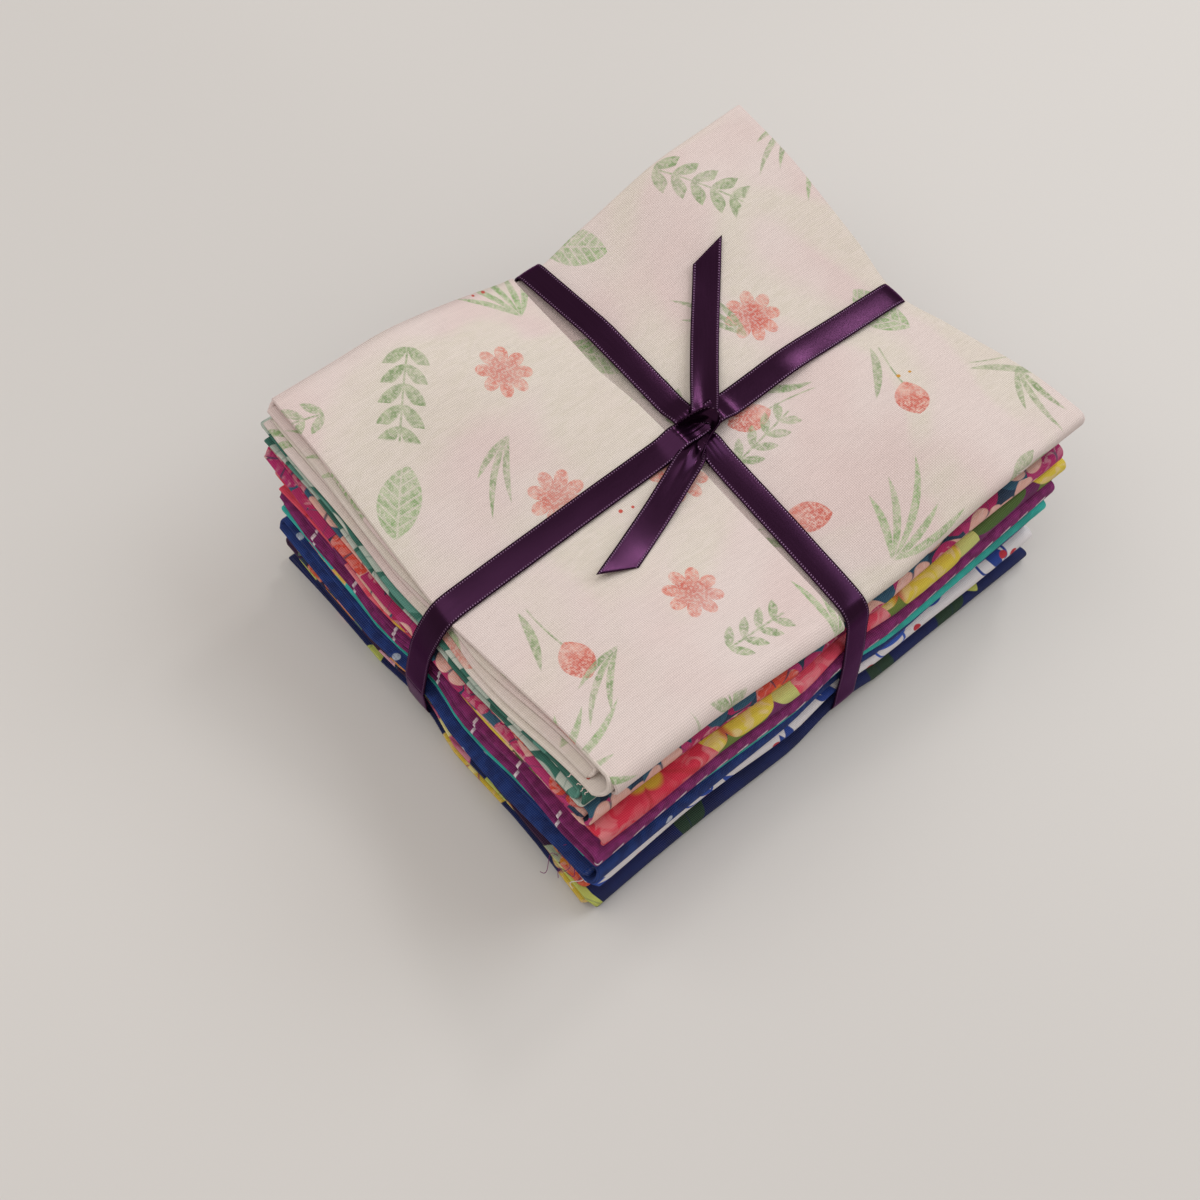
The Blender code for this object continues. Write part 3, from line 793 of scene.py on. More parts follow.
# The all-over prints: the share of spots that is printed, ground, leaves and their spacing, length and
# width, petals and their spacing, the flowers' radius, and the colours of their hearts and petal lines
FLORAL_COLUMNS = ("share", "ground", "leaves", "leaf_spacing", "leaf_size", "petals", "flower_spacing",
                  "radius", "heart", "line")
FLORALS = {
    "teal": (1.0, "3a7668", ("c9d0c6", "b6c4b9", "5b9386"), 12.0, (12.0, 5.4), ("c9cfc4",), 31.0, 4.6,
             "e6d9a8", "2d6156"),
    "magenta": (1.0, "29405c", ("b52a66", "eab6a9", "c03a78", "34607a"), 8.5, (10.0, 6.4),
                ("c12a64", "efb9ac", "b82a6e", "e0503f"), 12.0, 6.8, "f0843c", "29405c"),
    "coral_floral": (1.0, "7a2b68", ("6f8439", "cfd27e", "4f6b34"), 21.0, (21.0, 10.5),
                     ("e64b66", "dc304c", "ea8299", "e64b66", "e6cf4a"), 31.0, 20.0, "d9b53a", "c9303f"),
    "turquoise": (1.0, "35bcb2", ("2a9a96", "3bc4ba"), 23.0, (11.0, 4.2),
                  ("d96a8f", "e0762f", "e9c25a"), 33.0, 5.6, "f3e3b0", "a8486e"),
    "dark_floral": (1.0, "3a1c40", ("6f8a78", "2d3f57", "a9b59a"), 11.0, (10.0, 4.4),
                    ("d06a94", "e0912f", "e8a9bd", "e0623f"), 16.0, 7.2, "f0c95a", "8d3a62"),
    "navy_floral": (0.6, "10225c", ("24402f", "c5cf6a", "3f5f43"), 24.0, (19.0, 8.0),
                    ("e0c342", "e0c342", "d96a8f", "c5cf6a"), 36.0, 11.0, "f2e7a0", "a8486e"),
}


def floral(flat, name):
    """An all-over print of leaves and five-petalled flowers."""
    look = dict(zip(FLORAL_COLUMNS, FLORALS[name]))
    ground = ink(look["ground"])
    darker = tuple(share * 0.72 for share in ground[:3]) + (1.0,)
    colour = flat.noise(0.16, 3.0).step(0.35, 0.7).mix(ground, darker)
    length, width = look["leaf_size"]
    for shift in ((0.0, 0.0), (57.0, 23.0)):
        x, y, tone, kept = scatter(flat, look["leaf_spacing"], 0.8, shift)
        mask = leaf(x, y + length / 2.0, length, width, width * 0.3) * between(kept, -1.0, look["share"])
        colour = mask.mix(colour, pick(tone, look["leaves"]))
        rib = (0.22 - abs(x)).step(0.0, 0.16) * mask * 0.35
        colour = rib.mix(colour, ground)
    radius = look["radius"]
    x, y, tone, kept = scatter(flat, look["flower_spacing"], 0.55, (9.0, 17.0))
    mask, share, lobe = blossom(x, y, radius, 5.0, 0.3)
    mask = mask * between(kept, -1.0, look["share"])
    petal = pick(tone, look["petals"])
    pale = (share.step(0.2, 1.0) * 0.35).mix(petal, ink("f6d7d4"))
    petal = flat.noise(4.0 / radius, 3.0, 0.8).step(0.45, 0.6).mix(petal, pale)
    petal = ((1.0 - lobe.step(0.02, 0.3)) * 0.8).mix(petal, ink(look["line"]))
    petal = (0.3 - share).step(0.0, 0.08).mix(petal, ink(look["heart"]))
    return mask.mix(colour, petal)


# The dashed rows of the plum cloth: the row on the front fold, from row to row and from dash to dash
DASH_ROW = 108.4
DASH_ROW_PITCH = 13.8
DASH_PITCH = 5.7


def plum_dashes(flat):
    """Plum with spaced rows of short slanting white dashes, one of them on the front fold."""
    colour = patchy(flat, 0.5, "8c2b72", "6f1c59")
    x, y, _ = flat.parts()
    row = ((y - DASH_ROW) / DASH_ROW_PITCH + 0.5).part() - 0.5
    place = (x / DASH_PITCH).part() * DASH_PITCH - DASH_PITCH / 2.0
    bent = row * DASH_ROW_PITCH - place * 0.22
    dash = (0.46 - abs(bent)).step(0.0, 0.2) * (1.7 - abs(place)).step(0.0, 0.5)
    return stippled(flat, dash, 0.35, 1.6).mix(colour, ink("f1e6ee"))


def navy_dots(flat):
    """Navy with small pale dots."""
    colour = patchy(flat, 0.4, "1a3b82", "122b68")
    x, y, _, _ = scatter(flat, 11.0, 0.8)
    dot = spot(x, y, 1.05, 0.3)
    return stippled(flat, dot, 0.3, 1.6).mix(colour, ink("d3dcea"))


def white_marks(flat):
    """White with cobalt brush marks and small red dots."""
    colour = ink("ece8ec")
    x, y, kind, tone = scatter(flat, 15.0, 0.8)
    mark = leaf(x, y + 6.0, 13.0, 3.4, 3.0).most(leaf(x - 2.5, y + 4.0, 9.0, 2.2, -2.0))
    ring = (0.45 - abs(away_from(x, y) - 4.2)).step(0.0, 0.25) * kind.step(0.55, 0.56)
    colour = mark.most(ring).mix(colour, pick(tone, ("2a4fb0", "24459c", "3b62c4")))
    x, y, kind, _ = scatter(flat, 12.0, 0.8, (19.0, 5.0))
    dot = spot(x, y, 1.2, 0.25) * kind.step(0.35, 0.36)
    return dot.mix(colour, ink("c93545"))


# The cloths whose print isn't a floral
PRINTS = {
    "pale_pink": pale_botanical,
    "plum_dash": plum_dashes,
    "navy_dot": navy_dots,
    "white_cobalt": white_marks,
}


def printed(flat, name):
    """The cloth's own print, or else the floral in its colours."""
    if name in PRINTS:
        return PRINTS[name](flat)
    return floral(flat, name)


def new_material(name):
    """An empty Principled material, with its flat-cloth coordinates."""
    material = bpy.data.materials.new(name)
    material.use_nodes = True
    start = Value(material.node_tree, None)
    return material, start.node("ShaderNodeUVMap", {"uv_map": "flat"}, {})


def finish(material, values):
    """Gives the material's shader the values."""
    tree = material.node_tree
    connect(tree, tree.nodes["Principled BSDF"], values)


def weave(flat, pitch):
    """Height of a plain weave: round threads that pass over and under each other."""
    x, y, _ = flat.parts()
    across = (x * (math.pi / pitch)).sine()
    along = (y * (math.pi / pitch)).sine()
    over = (across * along).step(-0.3, 0.3)
    return abs(across) * over + abs(along) * (1.0 - over)


def cotton(cloth, pitch):
    """Printed quilting cotton: its print, thread by thread, over a plain weave, with painted shade between
    the threads and painted highlights on their tops.
    """
    material, flat = new_material(cloth["name"] + "_cotton")
    threads = weave(flat, pitch)
    colour = printed(flat.moved(cloth["print_x"], cloth["print_y"]), cloth["name"])
    slub = flat.scaled(0.12, 1.0).noise(1.4, 2.0).step(0.3, 0.75)
    # Painted shade: the hollows between the threads are darkened towards dark brown, and the slubs add a
    # little darker tone of their own.
    painted_shade_and_slub = (1.0 - threads.step(0.1, 0.9)) * 0.2 + slub * 0.04
    colour = painted_shade_and_slub.mix(colour, ink("2c2024"))
    height = threads + flat.noise(0.25, 3.0) * 0.6
    finish(material, {
        # Painted highlight: the tops of the threads are lightened towards pale cream.
        "Base Color": (threads.step(0.75, 1.0) * 0.06).mix(colour, ink("f3ece8")),
        "Roughness": flat.noise(0.8, 2.0) * 0.12 + 0.78,
        "Normal": height.bump(0.6, 0.00015),
        "Specular IOR Level": 0.1,
        "Sheen Weight": 0.015,
        "Sheen Roughness": 0.5,
    })
    return material


def add_satin(look, width):
    """Satin ribbon: fine ribs across, soft streaks along, and the dotted loops of its woven edges."""
    material, flat = new_material("plum_satin")
    along, across, _ = flat.parts()
    deep = (*look.deep, 1.0)
    streak = flat.scaled(0.06, 1.0).noise(2.6, 3.0)
    colour = (streak.step(0.3, 0.75) * 0.25 + 0.7).mix(deep, (*look.colour, 1.0))
    edge = abs(across) - width / 2.0
    rim = (0.24 - abs(edge + 0.45)).step(0.0, 0.14)
    beads = (0.24 - abs((along / (look.edge_pitch / MM) + across * 0.3).part() - 0.5)).step(0.0, 0.14)
    colour = edge.step(-0.4, -0.15).mix(colour, deep)
    colour = (rim * (1.0 - beads) * 0.5).mix(colour, deep)
    ribs = (along * (math.tau / 0.32)).sine() * 0.06 + streak * 0.06 + rim * beads * 1.8
    finish(material, {
        "Base Color": (rim * beads * 0.7).mix(colour, (*look.edge, 1.0)),
        "Roughness": streak * 0.03 + rim * 0.12 + 0.2,
        "Normal": ribs.bump(0.35, 0.0001),
        "Metallic": 0.85,
        "Specular Tint": (0.6, 0.35, 0.6, 1.0),
    })


# The top cloth's flap

def flap_edge(y):
    return np.interp(y, FLAP_EDGE_Y, FLAP_EDGE_X)


def cloth_top(x, y):
    """Height of what lies on top of the stack: the top cloth, and its flap left of the flap's edge."""
    bare = tied(x, y, STACK_HEIGHT - FACE_SINK)
    over = np.clip((flap_edge(y) - x) / EDGE_BLEND, 0.0, 1.0)
    return bare + creased(x, y) + over * (FLAP_GAP + FLAP_DEPTH + flap_lift(x, y))


def flap_lift(x, y):
    """How far the flap's free edge stands up from the layer below, most behind the side ribbon."""
    inward, behind = FLAP_LIFT_REACH
    return FLAP_LIFT * soft(flap_edge(y) - x, inward) * soft(y - FLAP_LIFT_Y, behind)


def flap_turn(side):
    """Stations round the flap's free edge, or round its left edge where the side is -1."""
    found = []
    for step in range(1, FLAP_EDGE_STEPS):
        angle = math.pi * step / FLAP_EDGE_STEPS
        found.append(((1.0 + side) / 2.0, side * math.sin(angle), 0.5 - 0.5 * side * math.cos(angle)))
    return found


def flap(sizes):
    """The flap as a flat tube of two plies that follows the front fold down and ends under it."""
    cloth = CLOTHS[0]
    top = STACK_HEIGHT - FLAP_INSET["top"]
    left = cloth["left_near"] + TOP_LEFT_SHORT[-1] + FLAP_INSET["left"]
    shares = run_shares(FLAP_RUN, RIBBON_X, FLAP_STEPS)
    loop = [(share, 0.0, 0.0) for share in shares if share >= 0.5]
    loop += flap_turn(1.0)
    loop += [(share, 0.0, 1.0) for share in reversed(shares)]
    loop += flap_turn(-1.0)
    loop += [(share, 0.0, 0.0) for share in shares if share <= 0.52]
    share, turn, level = np.array(loop).T
    radius = OUTER * PASS_PITCH + 2.0 * sizes.ply_pitch / MM
    front = cloth["front_near"] + FLAP_INSET["front"] + radius
    back = cloth["back"] - FLAP_INSET["back"]
    path = [(place, 90.0) for place in np.linspace(back, front, FLAP_TOP_STEPS)]
    path += [(front, angle) for angle in np.linspace(90.0, FLAP_WRAP, FLAP_WRAP_STEPS)[1:]]
    lines = []
    for y, angle in path:
        turned = math.radians(angle)
        reach = radius + FLAP_DEPTH * level + FLAP_GAP * FLAP_PRESSED
        x = toward(left, flap_edge(y) - FLAP_INSET["edge"], share) + turn * FLAP_DEPTH / 2.0
        ys = y + math.cos(turned) * reach
        zs = top - radius + math.sin(turned) * reach
        base = tied(x, ys, np.minimum(zs, top) + creased(x, ys)) + np.maximum(zs - top, 0.0)
        lift = flap_lift(x, ys) * toward(FLAP_LOWER_LIFT, 1.0, level)
        lines.append(np.stack([x, ys, base + lift], axis=1))
    points = np.array(lines)
    along = distances(points[:, 3])
    across = distances(points[FLAP_TOP_STEPS // 2])
    return points, np.stack(np.meshgrid(across + FLAP_PRINT[0], along + FLAP_PRINT[1]), axis=2)


# The ribbon

def hull(points):
    """The convex outline of flat points, anticlockwise."""
    ordered = sorted({(round(float(a), 3), round(float(b), 3)) for a, b in points})

    def chain(sequence):
        kept = []
        for point in sequence:
            while len(kept) > 1 and turning(kept[-2], kept[-1], point) <= 0.0:
                kept.pop()
            kept.append(point)
        return kept[:-1]

    return np.array(chain(ordered) + chain(ordered[::-1]))


def turning(a, b, c):
    return (b[0] - a[0]) * (c[1] - a[1]) - (b[1] - a[1]) * (c[0] - a[0])


def closed_line(outline):
    """The outline again with even steps and softened corners, without its repeated end."""
    loop = np.vstack([outline, outline[:1]])
    along = distances(loop)
    at = np.linspace(0.0, along[-1], int(along[-1] / TURN_STEP), endpoint=False)
    line = np.stack([np.interp(at, along, loop[:, axis]) for axis in (0, 1)], axis=1)
    for _ in range(TURN_PASSES):
        line = sum(np.roll(line, offset, axis=0) for offset in range(-TURN_SOFTEN, TURN_SOFTEN + 1))
        line = line / (2 * TURN_SOFTEN + 1)
    return line


def outward_normals(line):
    ahead = unit(np.roll(line, -1, axis=0) - np.roll(line, 1, axis=0))
    return np.stack([ahead[:, 1], -ahead[:, 0]], axis=1)


def stack_points():
    """Every corner of the finished cloths, in the stack's millimetres."""
    found = []
    for item in bpy.data.objects:
        if item.name.startswith("folded_"):
            corners = np.zeros(len(item.data.vertices) * 3, np.float32)
            item.data.vertices.foreach_get("co", corners)
            found.append(corners.reshape(-1, 3) / MM - SHIFT)
    return np.vstack(found)


def taut_line(points, turn):
    """The turn's closed path round the stack, in the plane across its axis."""
    axis = turn["axis"]
    near = points[np.abs(points[:, axis] - turn["centre"]) < turn["reach"]]
    line = closed_line(hull(near[:, [1 - axis, 2]]))
    return line + outward_normals(line) * turn["lift"]


def band(turn, line, width):
    """A taut turn of ribbon, which rises and gathers in fine pleats where it enters the knot."""
    across = np.linspace(-1.0, 1.0, TURN_COLUMN_COUNT)[None, :]
    closed = np.vstack([line, line[:1]])
    normals = outward_normals(line)
    normals = np.vstack([normals, normals[:1]])
    along = distances(closed)[:, None]
    place, height = closed[:, :1], closed[:, 1:]
    top = height > TOP_LEVEL
    tight = np.where(top, soft(place - turn["knot"], GATHER_REACH), 0.0)
    middle = band_middle(turn["axis"], closed)[:, None]
    sideways = middle + across * width / 2.0 * (1.0 - GATHER_SHARE * tight)
    crown = PLEAT_HEIGHT * np.cos(across * math.pi * PLEATS) * tight - EDGE_FALL * across ** 2
    for crest, rise, reach in turn["crests"]:
        crown = crown + np.where(top, rise * soft(place - crest, reach), 0.0)
    crown = crown + WAVER * ripple(31 + turn["axis"], along, across * 4.0, WAVER_WAVE)
    first = place + normals[:, :1] * crown
    height = height + normals[:, 1:] * crown
    pair = (first, sideways) if turn["axis"] else (sideways, first)
    flat = np.stack(np.broadcast_arrays(along, across * width / 2.0), axis=2)
    return np.stack([*pair, height], axis=2), flat


def band_middle(axis, line):
    """Where the band's middle lies across its plane at each point of its path."""
    if axis == 1:
        return np.full(len(line), SIDE_Y)
    on_top = np.interp(line[:, 0], LINE_Y, LINE_X)
    below = np.interp(line[:, 0], FOOT_Y, FOOT_X)
    return toward(below, on_top, np.clip(line[:, 1] / SIDE_LEVEL, 0.0, 1.0))


def smooth_line(points, step):
    """A curve through the points, read at even steps."""
    points = np.array(points, float)
    padded = np.vstack([2 * points[0] - points[1], points, 2 * points[-1] - points[-2]])
    found = []
    for index in range(1, len(padded) - 2):
        a, b, c, d = padded[index - 1:index + 3]
        for t in np.linspace(0.0, 1.0, CURVE_STEPS, endpoint=False):
            found.append(0.5 * (2 * b + (c - a) * t + (2 * a - 5 * b + 4 * c - d) * t * t
                                + (3 * b - a - 3 * c + d) * t ** 3))
    found.append(padded[-2])
    found = np.array(found)
    along = distances(found[:, :3])
    at = np.linspace(0.0, along[-1], max(3, int(along[-1] / step)))
    return np.stack([np.interp(at, along, found[:, axis]) for axis in range(found.shape[1])], axis=1)


# A free strip's columns, the width that its flat places are spread over, and how finely its path is read
STRIP_COLUMNS = 17
STRIP_WIDTH = 6.5
CURVE_STEPS = 24


def strip(table, step, pleats=(2.0, 0.0), cut=0.0):
    """A strip of ribbon through the table's points, turned about its path by the roll in degrees.

    Its pleats have a count across the half width and the share across where the first one crests.
    """
    line = smooth_line(table, step)
    path = line[:, :3]
    width, roll, depth = line[:, 3:, None].transpose(1, 0, 2)
    ahead, level, above = directions(path)
    side = level * np.cos(np.radians(roll)) + above * np.sin(np.radians(roll))
    up = np.cross(side, ahead)
    across = np.linspace(-1.0, 1.0, STRIP_COLUMNS)[None, :]
    along = distances(path)[:, None]
    count, crest = pleats
    fold = np.cos((across - crest) * math.pi * count) * depth
    skew = cut * across * (along / along[-1]) ** 3
    points = path[:, None] + side[:, None] * (across * width / 2.0)[:, :, None]
    points = points + up[:, None] * fold[:, :, None] + ahead[:, None] * skew[:, :, None]
    flat = np.stack(np.broadcast_arrays(along + skew, across * STRIP_WIDTH / 2.0), axis=2)
    return path, points, flat


# The knot's strip starts at this level. Its hidden middle has a place from there, half sizes and creases.
KNOT_BASE = float(tied(KNOT_X, KNOT_Y, STACK_HEIGHT)) + 1.3
CORE_MIDDLE = np.array([KNOT_X, KNOT_Y - 0.4, KNOT_BASE - 0.5])
CORE_SIZE = np.array([3.6, 3.2, 0.6])
CORE_CREASES = 9.0
CORE_CREASE_DEPTH = 0.07
KNOT_STEP = 0.3

# The strip of the knot: x, y, height above its base, width, roll and pleat. It stands on edge behind the
# hollow, leans out as it turns on the right, and comes back low in front of the hollow to the second
# tail's edge.
KNOT_LOOP = (
    (1.6, 0.9, 0.8, 3.6, -86.0, 0.06),
    (3.4, 0.2, 1.9, 4.2, -84.0, 0.06),
    (5.2, -0.5, 2.5, 4.4, -78.0, 0.05),
    (6.9, -1.3, 2.8, 4.4, -66.0, 0.05),
    (7.9, -2.4, 2.7, 4.2, -52.0, 0.05),
    (7.6, -3.7, 2.3, 3.6, -50.0, 0.05),
    (6.3, -4.7, 1.7, 2.8, -62.0, 0.05),
    (4.6, -5.4, 1.3, 2.2, -76.0, 0.05),
    (3.0, -6.2, 0.9, 1.6, -84.0, 0.05),
    (0.8, -7.6, 0.9, 1.3, -84.0, 0.05),
    (-1.3, -8.9, 0.6, 0.9, -84.0, 0.05),
)

# The tails from the knot out, with heights above what they lie on: x, y, lift, width, roll and pleat. Then
# how far each slanting cut reaches to either side of the tail's end, and the tail's pleats as in strip().
TAIL_STEP = 0.6
TAIL_GAP = 0.3
TAIL_ROWS = {
    "tail_1": (
        (5.9, -2.2, 1.3, 4.8, 4.0, 0.2),
        (6.6, -1.4, 2.3, 5.2, 4.0, 0.32),
        (7.5, -0.4, 3.0, 6.0, 3.0, 0.34),
        (9.8, 2.0, 2.6, 6.4, 2.0, 0.2),
        (15.4, 8.2, 1.5, 6.5, 1.0, 0.05),
        (22.3, 15.7, 0.8, 6.5, 1.0, 0.0),
        (30.0, 23.9, 0.5, 6.5, -1.0, 0.0),
        (36.5, 31.1, 0.7, 6.5, -3.0, 0.0),
    ),
    "tail_2": (
        (3.4, -4.4, -0.9, 2.0, 10.0, 0.1),
        (1.8, -4.7, 1.3, 3.2, 8.0, 0.3),
        (0.0, -5.8, 2.4, 5.2, 5.0, 0.5),
        (-3.2, -7.3, 2.0, 6.5, 2.0, 0.34),
        (-8.5, -9.3, 1.2, 6.5, 0.0, 0.1),
        (-16.1, -12.2, 0.8, 6.5, 0.0, 0.0),
        (-25.4, -15.6, 0.5, 6.5, 2.0, 0.0),
        (-33.4, -18.6, 0.8, 6.5, 4.0, 0.0),
    ),
}
TAIL_CUTS = {"tail_1": 3.9, "tail_2": 3.5}
TAIL_PLEATS = {"tail_1": (1.0, 1.0), "tail_2": (1.43, 0.25)}

# Loose threads: how thick they are, how they are divided, how they curl and bow, and how low they may go;
# then the foot of each, how far it reaches, how much it curls and its cloth's slot
THREAD_RADIUS = 0.08
THREAD_SIDES = 5
THREAD_POINTS = 14
THREAD_CURL = 6.0
THREAD_BOW = 3.0
THREAD_BOW_HEIGHT = 0.5
THREAD_LOWEST = 0.3
THREAD_COLUMNS = ("x", "y", "z", "dx", "dy", "dz", "curl", "slot")
THREAD_ROWS = (
    (-73.4, -56.0, 12.0, -2.0, -1.0, -4.0, 1.2, "white_cobalt_cotton"),
    (-73.0, -51.0, 19.0, -2.6, -2.0, -8.0, -1.6, "plum_dash_cotton"),
    (-73.2, -54.0, 13.0, -3.0, 0.8, -6.5, 1.9, "plum_dash_cotton"),
    (-73.6, -49.5, 9.0, -3.6, 1.5, -6.0, -1.4, "plum_dash_cotton"),
    (-69.6, -51.6, 45.6, -0.9, -0.4, 0.3, 0.2, "pale_pink_cotton"),
    (-69.6, -50.8, 45.4, -1.1, 0.1, 0.3, -0.2, "pale_pink_cotton"),
    (-69.6, -49.7, 45.5, -0.8, 0.3, 0.2, 0.2, "pale_pink_cotton"),
    (-69.6, -47.2, 45.3, -1.0, 0.4, 0.2, -0.2, "pale_pink_cotton"),
    (69.2, -50.0, 44.5, 3.6, -1.2, -1.5, 1.2, "navy_dot_cotton"),
    (67.4, 20.0, 40.5, 3.0, 2.0, -2.0, 1.0, "magenta_cotton"),
    (64.6, -12.0, 22.0, 4.0, -2.0, -3.0, 1.4, "turquoise_cotton"),
    (64.0, 33.0, 12.0, 3.4, 1.6, -4.0, -1.2, "navy_floral_cotton"),
)


def thread(row):
    """One loose thread as a thin tube with a slight curl."""
    share = np.linspace(0.0, 1.0, THREAD_POINTS)[:, None]
    foot = np.array([row["x"], row["y"], row["z"]])
    reach = np.array([row["dx"], row["dy"], row["dz"]])
    aside = unit(np.array([[-reach[1], reach[0], 0.0]]))
    path = foot + reach * share + aside * row["curl"] * np.sin(share * THREAD_CURL)
    bow = THREAD_BOW_HEIGHT * np.sin(share * THREAD_BOW)
    path[:, 2:] = np.maximum(path[:, 2:] + bow, THREAD_LOWEST)
    _, side, up = directions(path)
    turn = np.linspace(0.0, math.tau, THREAD_SIDES + 1)
    round_it = side[:, None] * np.cos(turn)[:, None] + up[:, None] * np.sin(turn)[:, None]
    flat = np.stack(np.meshgrid(turn, share * 10.0), axis=2)
    return path[:, None] + THREAD_RADIUS * round_it, flat


# Sizes and colours that a user would change

def distance(name, description, millimetres):
    return FloatProperty(name=name, description=description, default=millimetres * MM, unit="LENGTH",
                         precision=5)


def tint(name, description, colour):
    return FloatVectorProperty(name=name, description=description, default=colour, subtype="COLOR")


def power(name, description, watts):
    return FloatProperty(name=name, description=description, default=watts, unit="POWER")


class ClothSizes(bpy.types.PropertyGroup):
    ply_pitch: distance("Ply pitch", "Distance from ply to ply", 0.285)
    thickness: distance("Thickness", "Thickness of the cotton", 0.2)
    unevenness: distance("Unevenness", "How far the folded edges wander", 0.4)
    thread_pitch: distance("Thread pitch", "Distance from thread to thread", 0.42)


class RibbonLook(bpy.types.PropertyGroup):
    width: distance("Width", "Width of the ribbon", 6.5)
    thickness: distance("Thickness", "Thickness of the ribbon", 0.3)
    edge_pitch: distance("Edge pitch", "Distance between the loops of the woven edge", 0.64)
    colour: tint("Colour", "Colour of the satin", (0.035, 0.0105, 0.033))
    deep: tint("Deep colour", "Colour in the satin's streaks", (0.022, 0.0065, 0.0205))
    edge: tint("Edge colour", "Colour of the edge loops", (0.27, 0.165, 0.28))


class StageLook(bpy.types.PropertyGroup):
    floor: tint("Table", "Colour of the table", (0.645, 0.634, 0.618))
    window: power("Window", "Power of the large soft light", 7.0)
    sky: power("Sky", "Power of the soft light from above", 8.4)
    lamp: power("Lamp", "Power of the small light that the satin mirrors", 1.9)
    fill: FloatProperty(name="Fill", description="Strength of the light from all round", default=0.49)


class BUNDLE_OT_cloths(bpy.types.Operator):
    """Fold the ten cloths and lay them on each other"""
    bl_idname = "bundle.cloths"
    bl_label = "Fold the cloths"

    def execute(self, context):
        sizes = context.scene.bundle_cloth
        for number, (cloth, node) in enumerate(zip(CLOTHS, NODES)):
            slot = cloth["name"] + "_cotton"
            material = cotton(cloth, sizes.thread_pitch / MM)
            name = "folded_" + node.removeprefix("cloth_")
            made = piece(name, new_mesh(packet(number, sizes)), material, node, sizes.thickness)
            below = (NODES + ["table"])[number + 1]
            with_pieces = []
            if number == 0:
                mesh = new_mesh(flap(sizes))
                with_pieces = [piece("folded_01_flap", mesh, material, thickness=sizes.thickness)]
        return {"FINISHED"}


def ribbon_piece(name, mesh, look):
    """A piece of the ribbon, which stands for the whole tie's solid together with the others."""
    material = bpy.data.materials["plum_satin"]
    return piece(name, mesh, material, "ribbon_tie", look.thickness)


class BUNDLE_OT_ribbon(bpy.types.Operator):
    """Take the ribbon round the stack both ways"""
    bl_idname = "bundle.ribbon"
    bl_label = "Tie the ribbon"

    def execute(self, context):
        look = context.scene.bundle_ribbon
        width = look.width / MM
        add_satin(look, width)
        points = stack_points()
        for turn in rows(TURN_COLUMNS, TURN_ROWS):
            mesh = new_mesh(band(turn, taut_line(points, turn), width))
            bmesh.ops.remove_doubles(mesh, verts=mesh.verts, dist=WELD)
            ribbon_piece(turn["name"], mesh, look)
        return {"FINISHED"}


class BUNDLE_OT_knot(bpy.types.Operator):
    """Tie the knot and lay out its two tails"""
    bl_idname = "bundle.knot"
    bl_label = "Tie the knot"

    def execute(self, context):
        look = context.scene.bundle_ribbon
        raised = [(x, y, z + KNOT_BASE, *rest) for x, y, z, *rest in KNOT_LOOP]
        _, points, flat = strip(raised, KNOT_STEP)
        mesh = new_mesh((points, flat))
        add_core(mesh)
        ribbon_piece("ribbon_knot", mesh, look)
        for name, table in TAIL_ROWS.items():
            raised = [(x, y, lift + float(cloth_top(x, y)) + TAIL_GAP, *rest) for x, y, lift, *rest in table]
            path, points, flat = strip(raised, TAIL_STEP, TAIL_PLEATS[name], TAIL_CUTS[name])
            made = ribbon_piece("ribbon_" + name, new_mesh((points, flat)), look)
            place = (path + SHIFT) * MM
        return {"FINISHED"}


def add_core(mesh):
    """The hidden middle of the knot, low and creased, so that no gap shows through it."""
    made = bmesh.ops.create_uvsphere(mesh, u_segments=28, v_segments=14, radius=1.0)
    layer = mesh.loops.layers.uv.active
    for corner in made["verts"]:
        angle = math.atan2(corner.co.y, corner.co.x)
        crease = 1.0 + CORE_CREASE_DEPTH * math.cos(angle * CORE_CREASES)
        place = CORE_MIDDLE + CORE_SIZE * np.array(corner.co) * (crease, crease, 1.0)
        corner.co = (place + SHIFT) * MM
        for loop in corner.link_loops:
            loop[layer].uv = (angle * 3.0, 0.0)


class BUNDLE_OT_threads(bpy.types.Operator):
    """Let a few threads stray from the raw edges"""
    bl_idname = "bundle.threads"
    bl_label = "Stray threads"

    def execute(self, context):
        table = rows(THREAD_COLUMNS, THREAD_ROWS)
        for slot in sorted({row["slot"] for row in table}):
            mesh = new_mesh(*[thread(row) for row in table if row["slot"] == slot])
            bmesh.ops.remove_doubles(mesh, verts=mesh.verts, dist=WELD / 10.0)
            piece("threads_" + slot, mesh, bpy.data.materials[slot])
        return {"FINISHED"}


# The camera: its bearing and height round the stack in degrees, its roll, its distance, where it looks
# and its lens
CAMERA_BEARING = -46.9
CAMERA_HEIGHT = 62.85
CAMERA_ROLL = 7.2
CAMERA_DISTANCE = 372.0
CAMERA_TARGET = (-33.0, -14.3, 25.0)
CAMERA_LENS = 51.1

# The lights, each named like its power: place in metres, size and colour
LIGHT_ROWS = (
    ("window", (1.0, -0.22, 1.0), 0.9, (0.93, 0.97, 1.0)),
    ("sky", (-0.42, 0.4, 1.4), 1.4, (1.0, 0.98, 0.96)),
    ("lamp", (0.9, 0.4, 1.06), 0.21, (1.0, 0.97, 0.95)),
)
ROOM_COLOUR = (1.0, 0.91, 0.84, 1.0)
TABLE_HALF = 3.0


def add_light(name, watts, place, size, colour):
    data = bpy.data.lights.new(name, "AREA")
    data.energy = watts
    data.size = size
    data.color = colour
    turn = (-Vector(place)).to_track_quat("-Z", "Y").to_matrix().to_4x4()
    placed(name, data).matrix_world = Matrix.Translation(place) @ turn


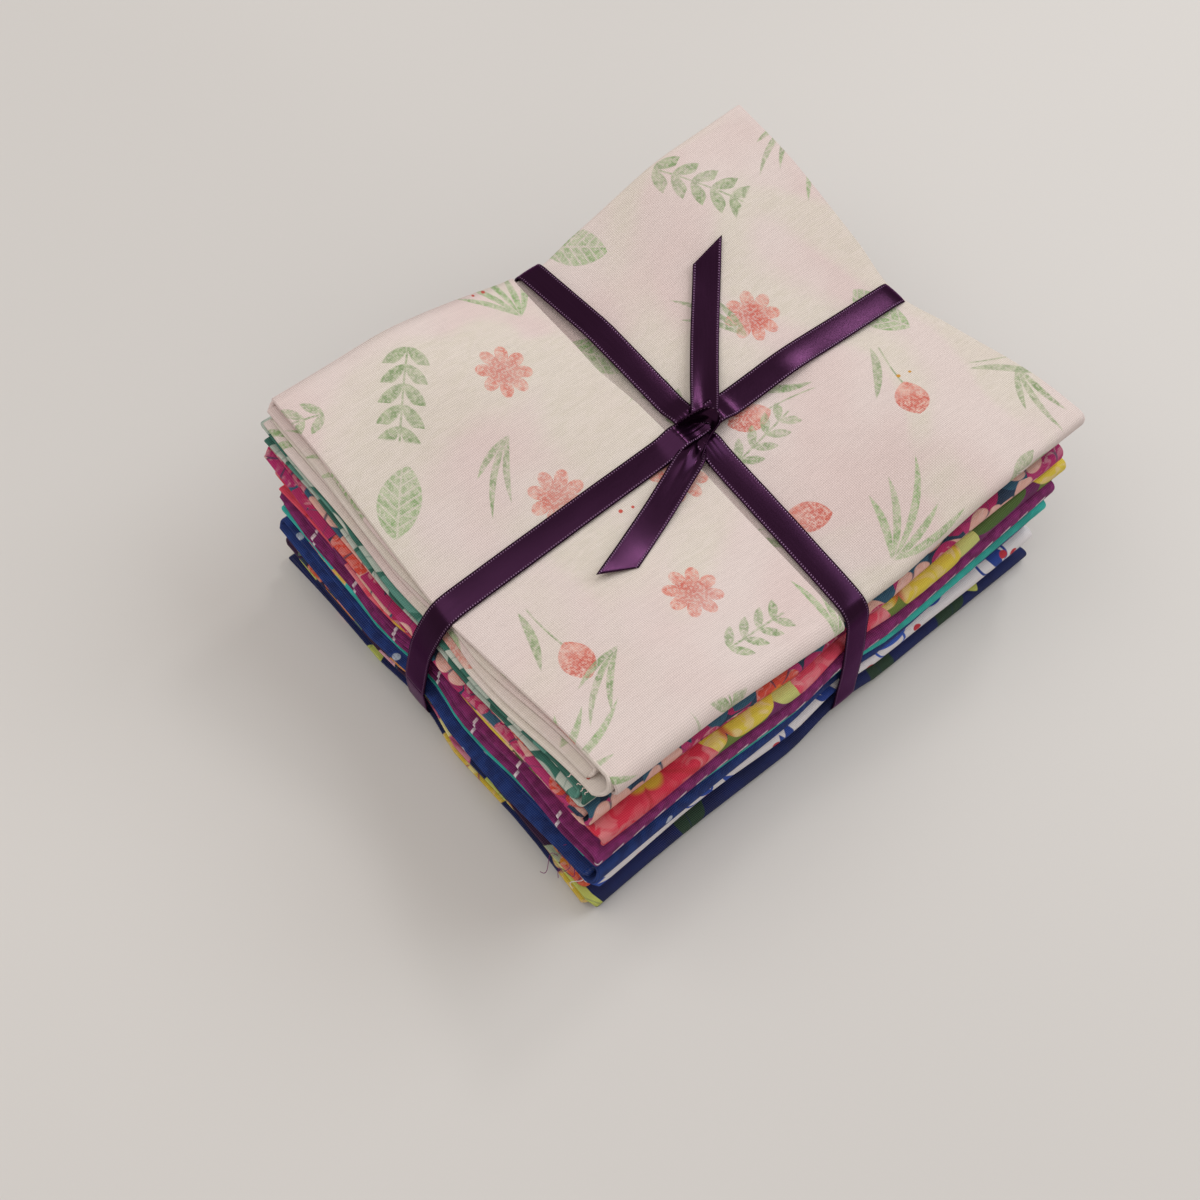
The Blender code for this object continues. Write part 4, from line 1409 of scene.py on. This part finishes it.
class BUNDLE_OT_stage(bpy.types.Operator):
    """Set the pale table, the soft light and the camera"""
    bl_idname = "bundle.stage"
    bl_label = "Set the stage"

    def execute(self, context):
        look = context.scene.bundle_stage
        material, flat = new_material("painted_table")
        cloud = flat.node("ShaderNodeTexCoord", {}, {}, "Object").noise(3.0, 2.0)
        darker = (*[share * 0.96 for share in look.floor], 1.0)
        colour = cloud.step(0.3, 0.7).mix((*look.floor, 1.0), darker)
        finish(material, {"Base Color": colour, "Roughness": 0.55})
        mesh = new_mesh()
        bmesh.ops.create_grid(mesh, x_segments=1, y_segments=1, size=TABLE_HALF)
        table = shaped("table", mesh, material)
        for name, *light in LIGHT_ROWS:
            add_light(name, getattr(look, name), *light)
        world = bpy.data.worlds.new("room")
        world.use_nodes = True
        background = world.node_tree.nodes["Background"]
        connect(world.node_tree, background, {"Color": ROOM_COLOUR, "Strength": look.fill})
        context.scene.world = world
        context.scene.view_settings.view_transform = "Standard"
        set_camera(context.scene)
        return {"FINISHED"}


def set_camera(scene):
    bearing, height, roll = map(math.radians, (CAMERA_BEARING, CAMERA_HEIGHT, CAMERA_ROLL))
    out = Vector((math.sin(bearing), -math.cos(bearing), 0.0)) * math.cos(height)
    out.z = math.sin(height)
    level = Vector((math.cos(bearing), math.sin(bearing), 0.0))
    above = out.cross(level)
    right = level * math.cos(roll) + above * math.sin(roll)
    up = above * math.cos(roll) - level * math.sin(roll)
    place = (Vector(CAMERA_TARGET) + Vector(SHIFT) + out * CAMERA_DISTANCE) * MM
    data = bpy.data.cameras.new("camera")
    data.lens = CAMERA_LENS
    data.sensor_width = 36.0
    data.clip_start = 0.01
    camera = placed("camera", data)
    camera.matrix_world = Matrix.Translation(place) @ Matrix((right, up, out)).transposed().to_4x4()
    scene.camera = camera


class BUNDLE_PT_panel(bpy.types.Panel):
    """Lists the bundle's steps and sizes"""
    bl_label = "Bundle"
    bl_idname = "BUNDLE_PT_panel"
    bl_space_type = "VIEW_3D"
    bl_region_type = "UI"
    bl_category = "Bundle"

    def draw(self, context):
        layout = self.layout
        for group in (context.scene.bundle_cloth, context.scene.bundle_ribbon, context.scene.bundle_stage):
            for name in group.__annotations__:
                layout.prop(group, name)
        for step in STEPS:
            layout.operator(step.bl_idname)


GROUPS = (("bundle_cloth", ClothSizes), ("bundle_ribbon", RibbonLook), ("bundle_stage", StageLook))
STEPS = (BUNDLE_OT_cloths, BUNDLE_OT_ribbon, BUNDLE_OT_knot, BUNDLE_OT_threads, BUNDLE_OT_stage)


def register():
    for name, group in GROUPS:
        bpy.utils.register_class(group)
        setattr(bpy.types.Scene, name, PointerProperty(type=group))
    for kind in STEPS + (BUNDLE_PT_panel,):
        bpy.utils.register_class(kind)


def unregister():
    for kind in (BUNDLE_PT_panel,) + STEPS[::-1]:
        bpy.utils.unregister_class(kind)
    for name, group in GROUPS:
        delattr(bpy.types.Scene, name)
        bpy.utils.unregister_class(group)


def main():
    register()
    bpy.ops.bundle.stage()
    bpy.ops.bundle.cloths()
    bpy.ops.bundle.ribbon()
    bpy.ops.bundle.knot()
    bpy.ops.bundle.threads()


if __name__ == "__main__":
    main()
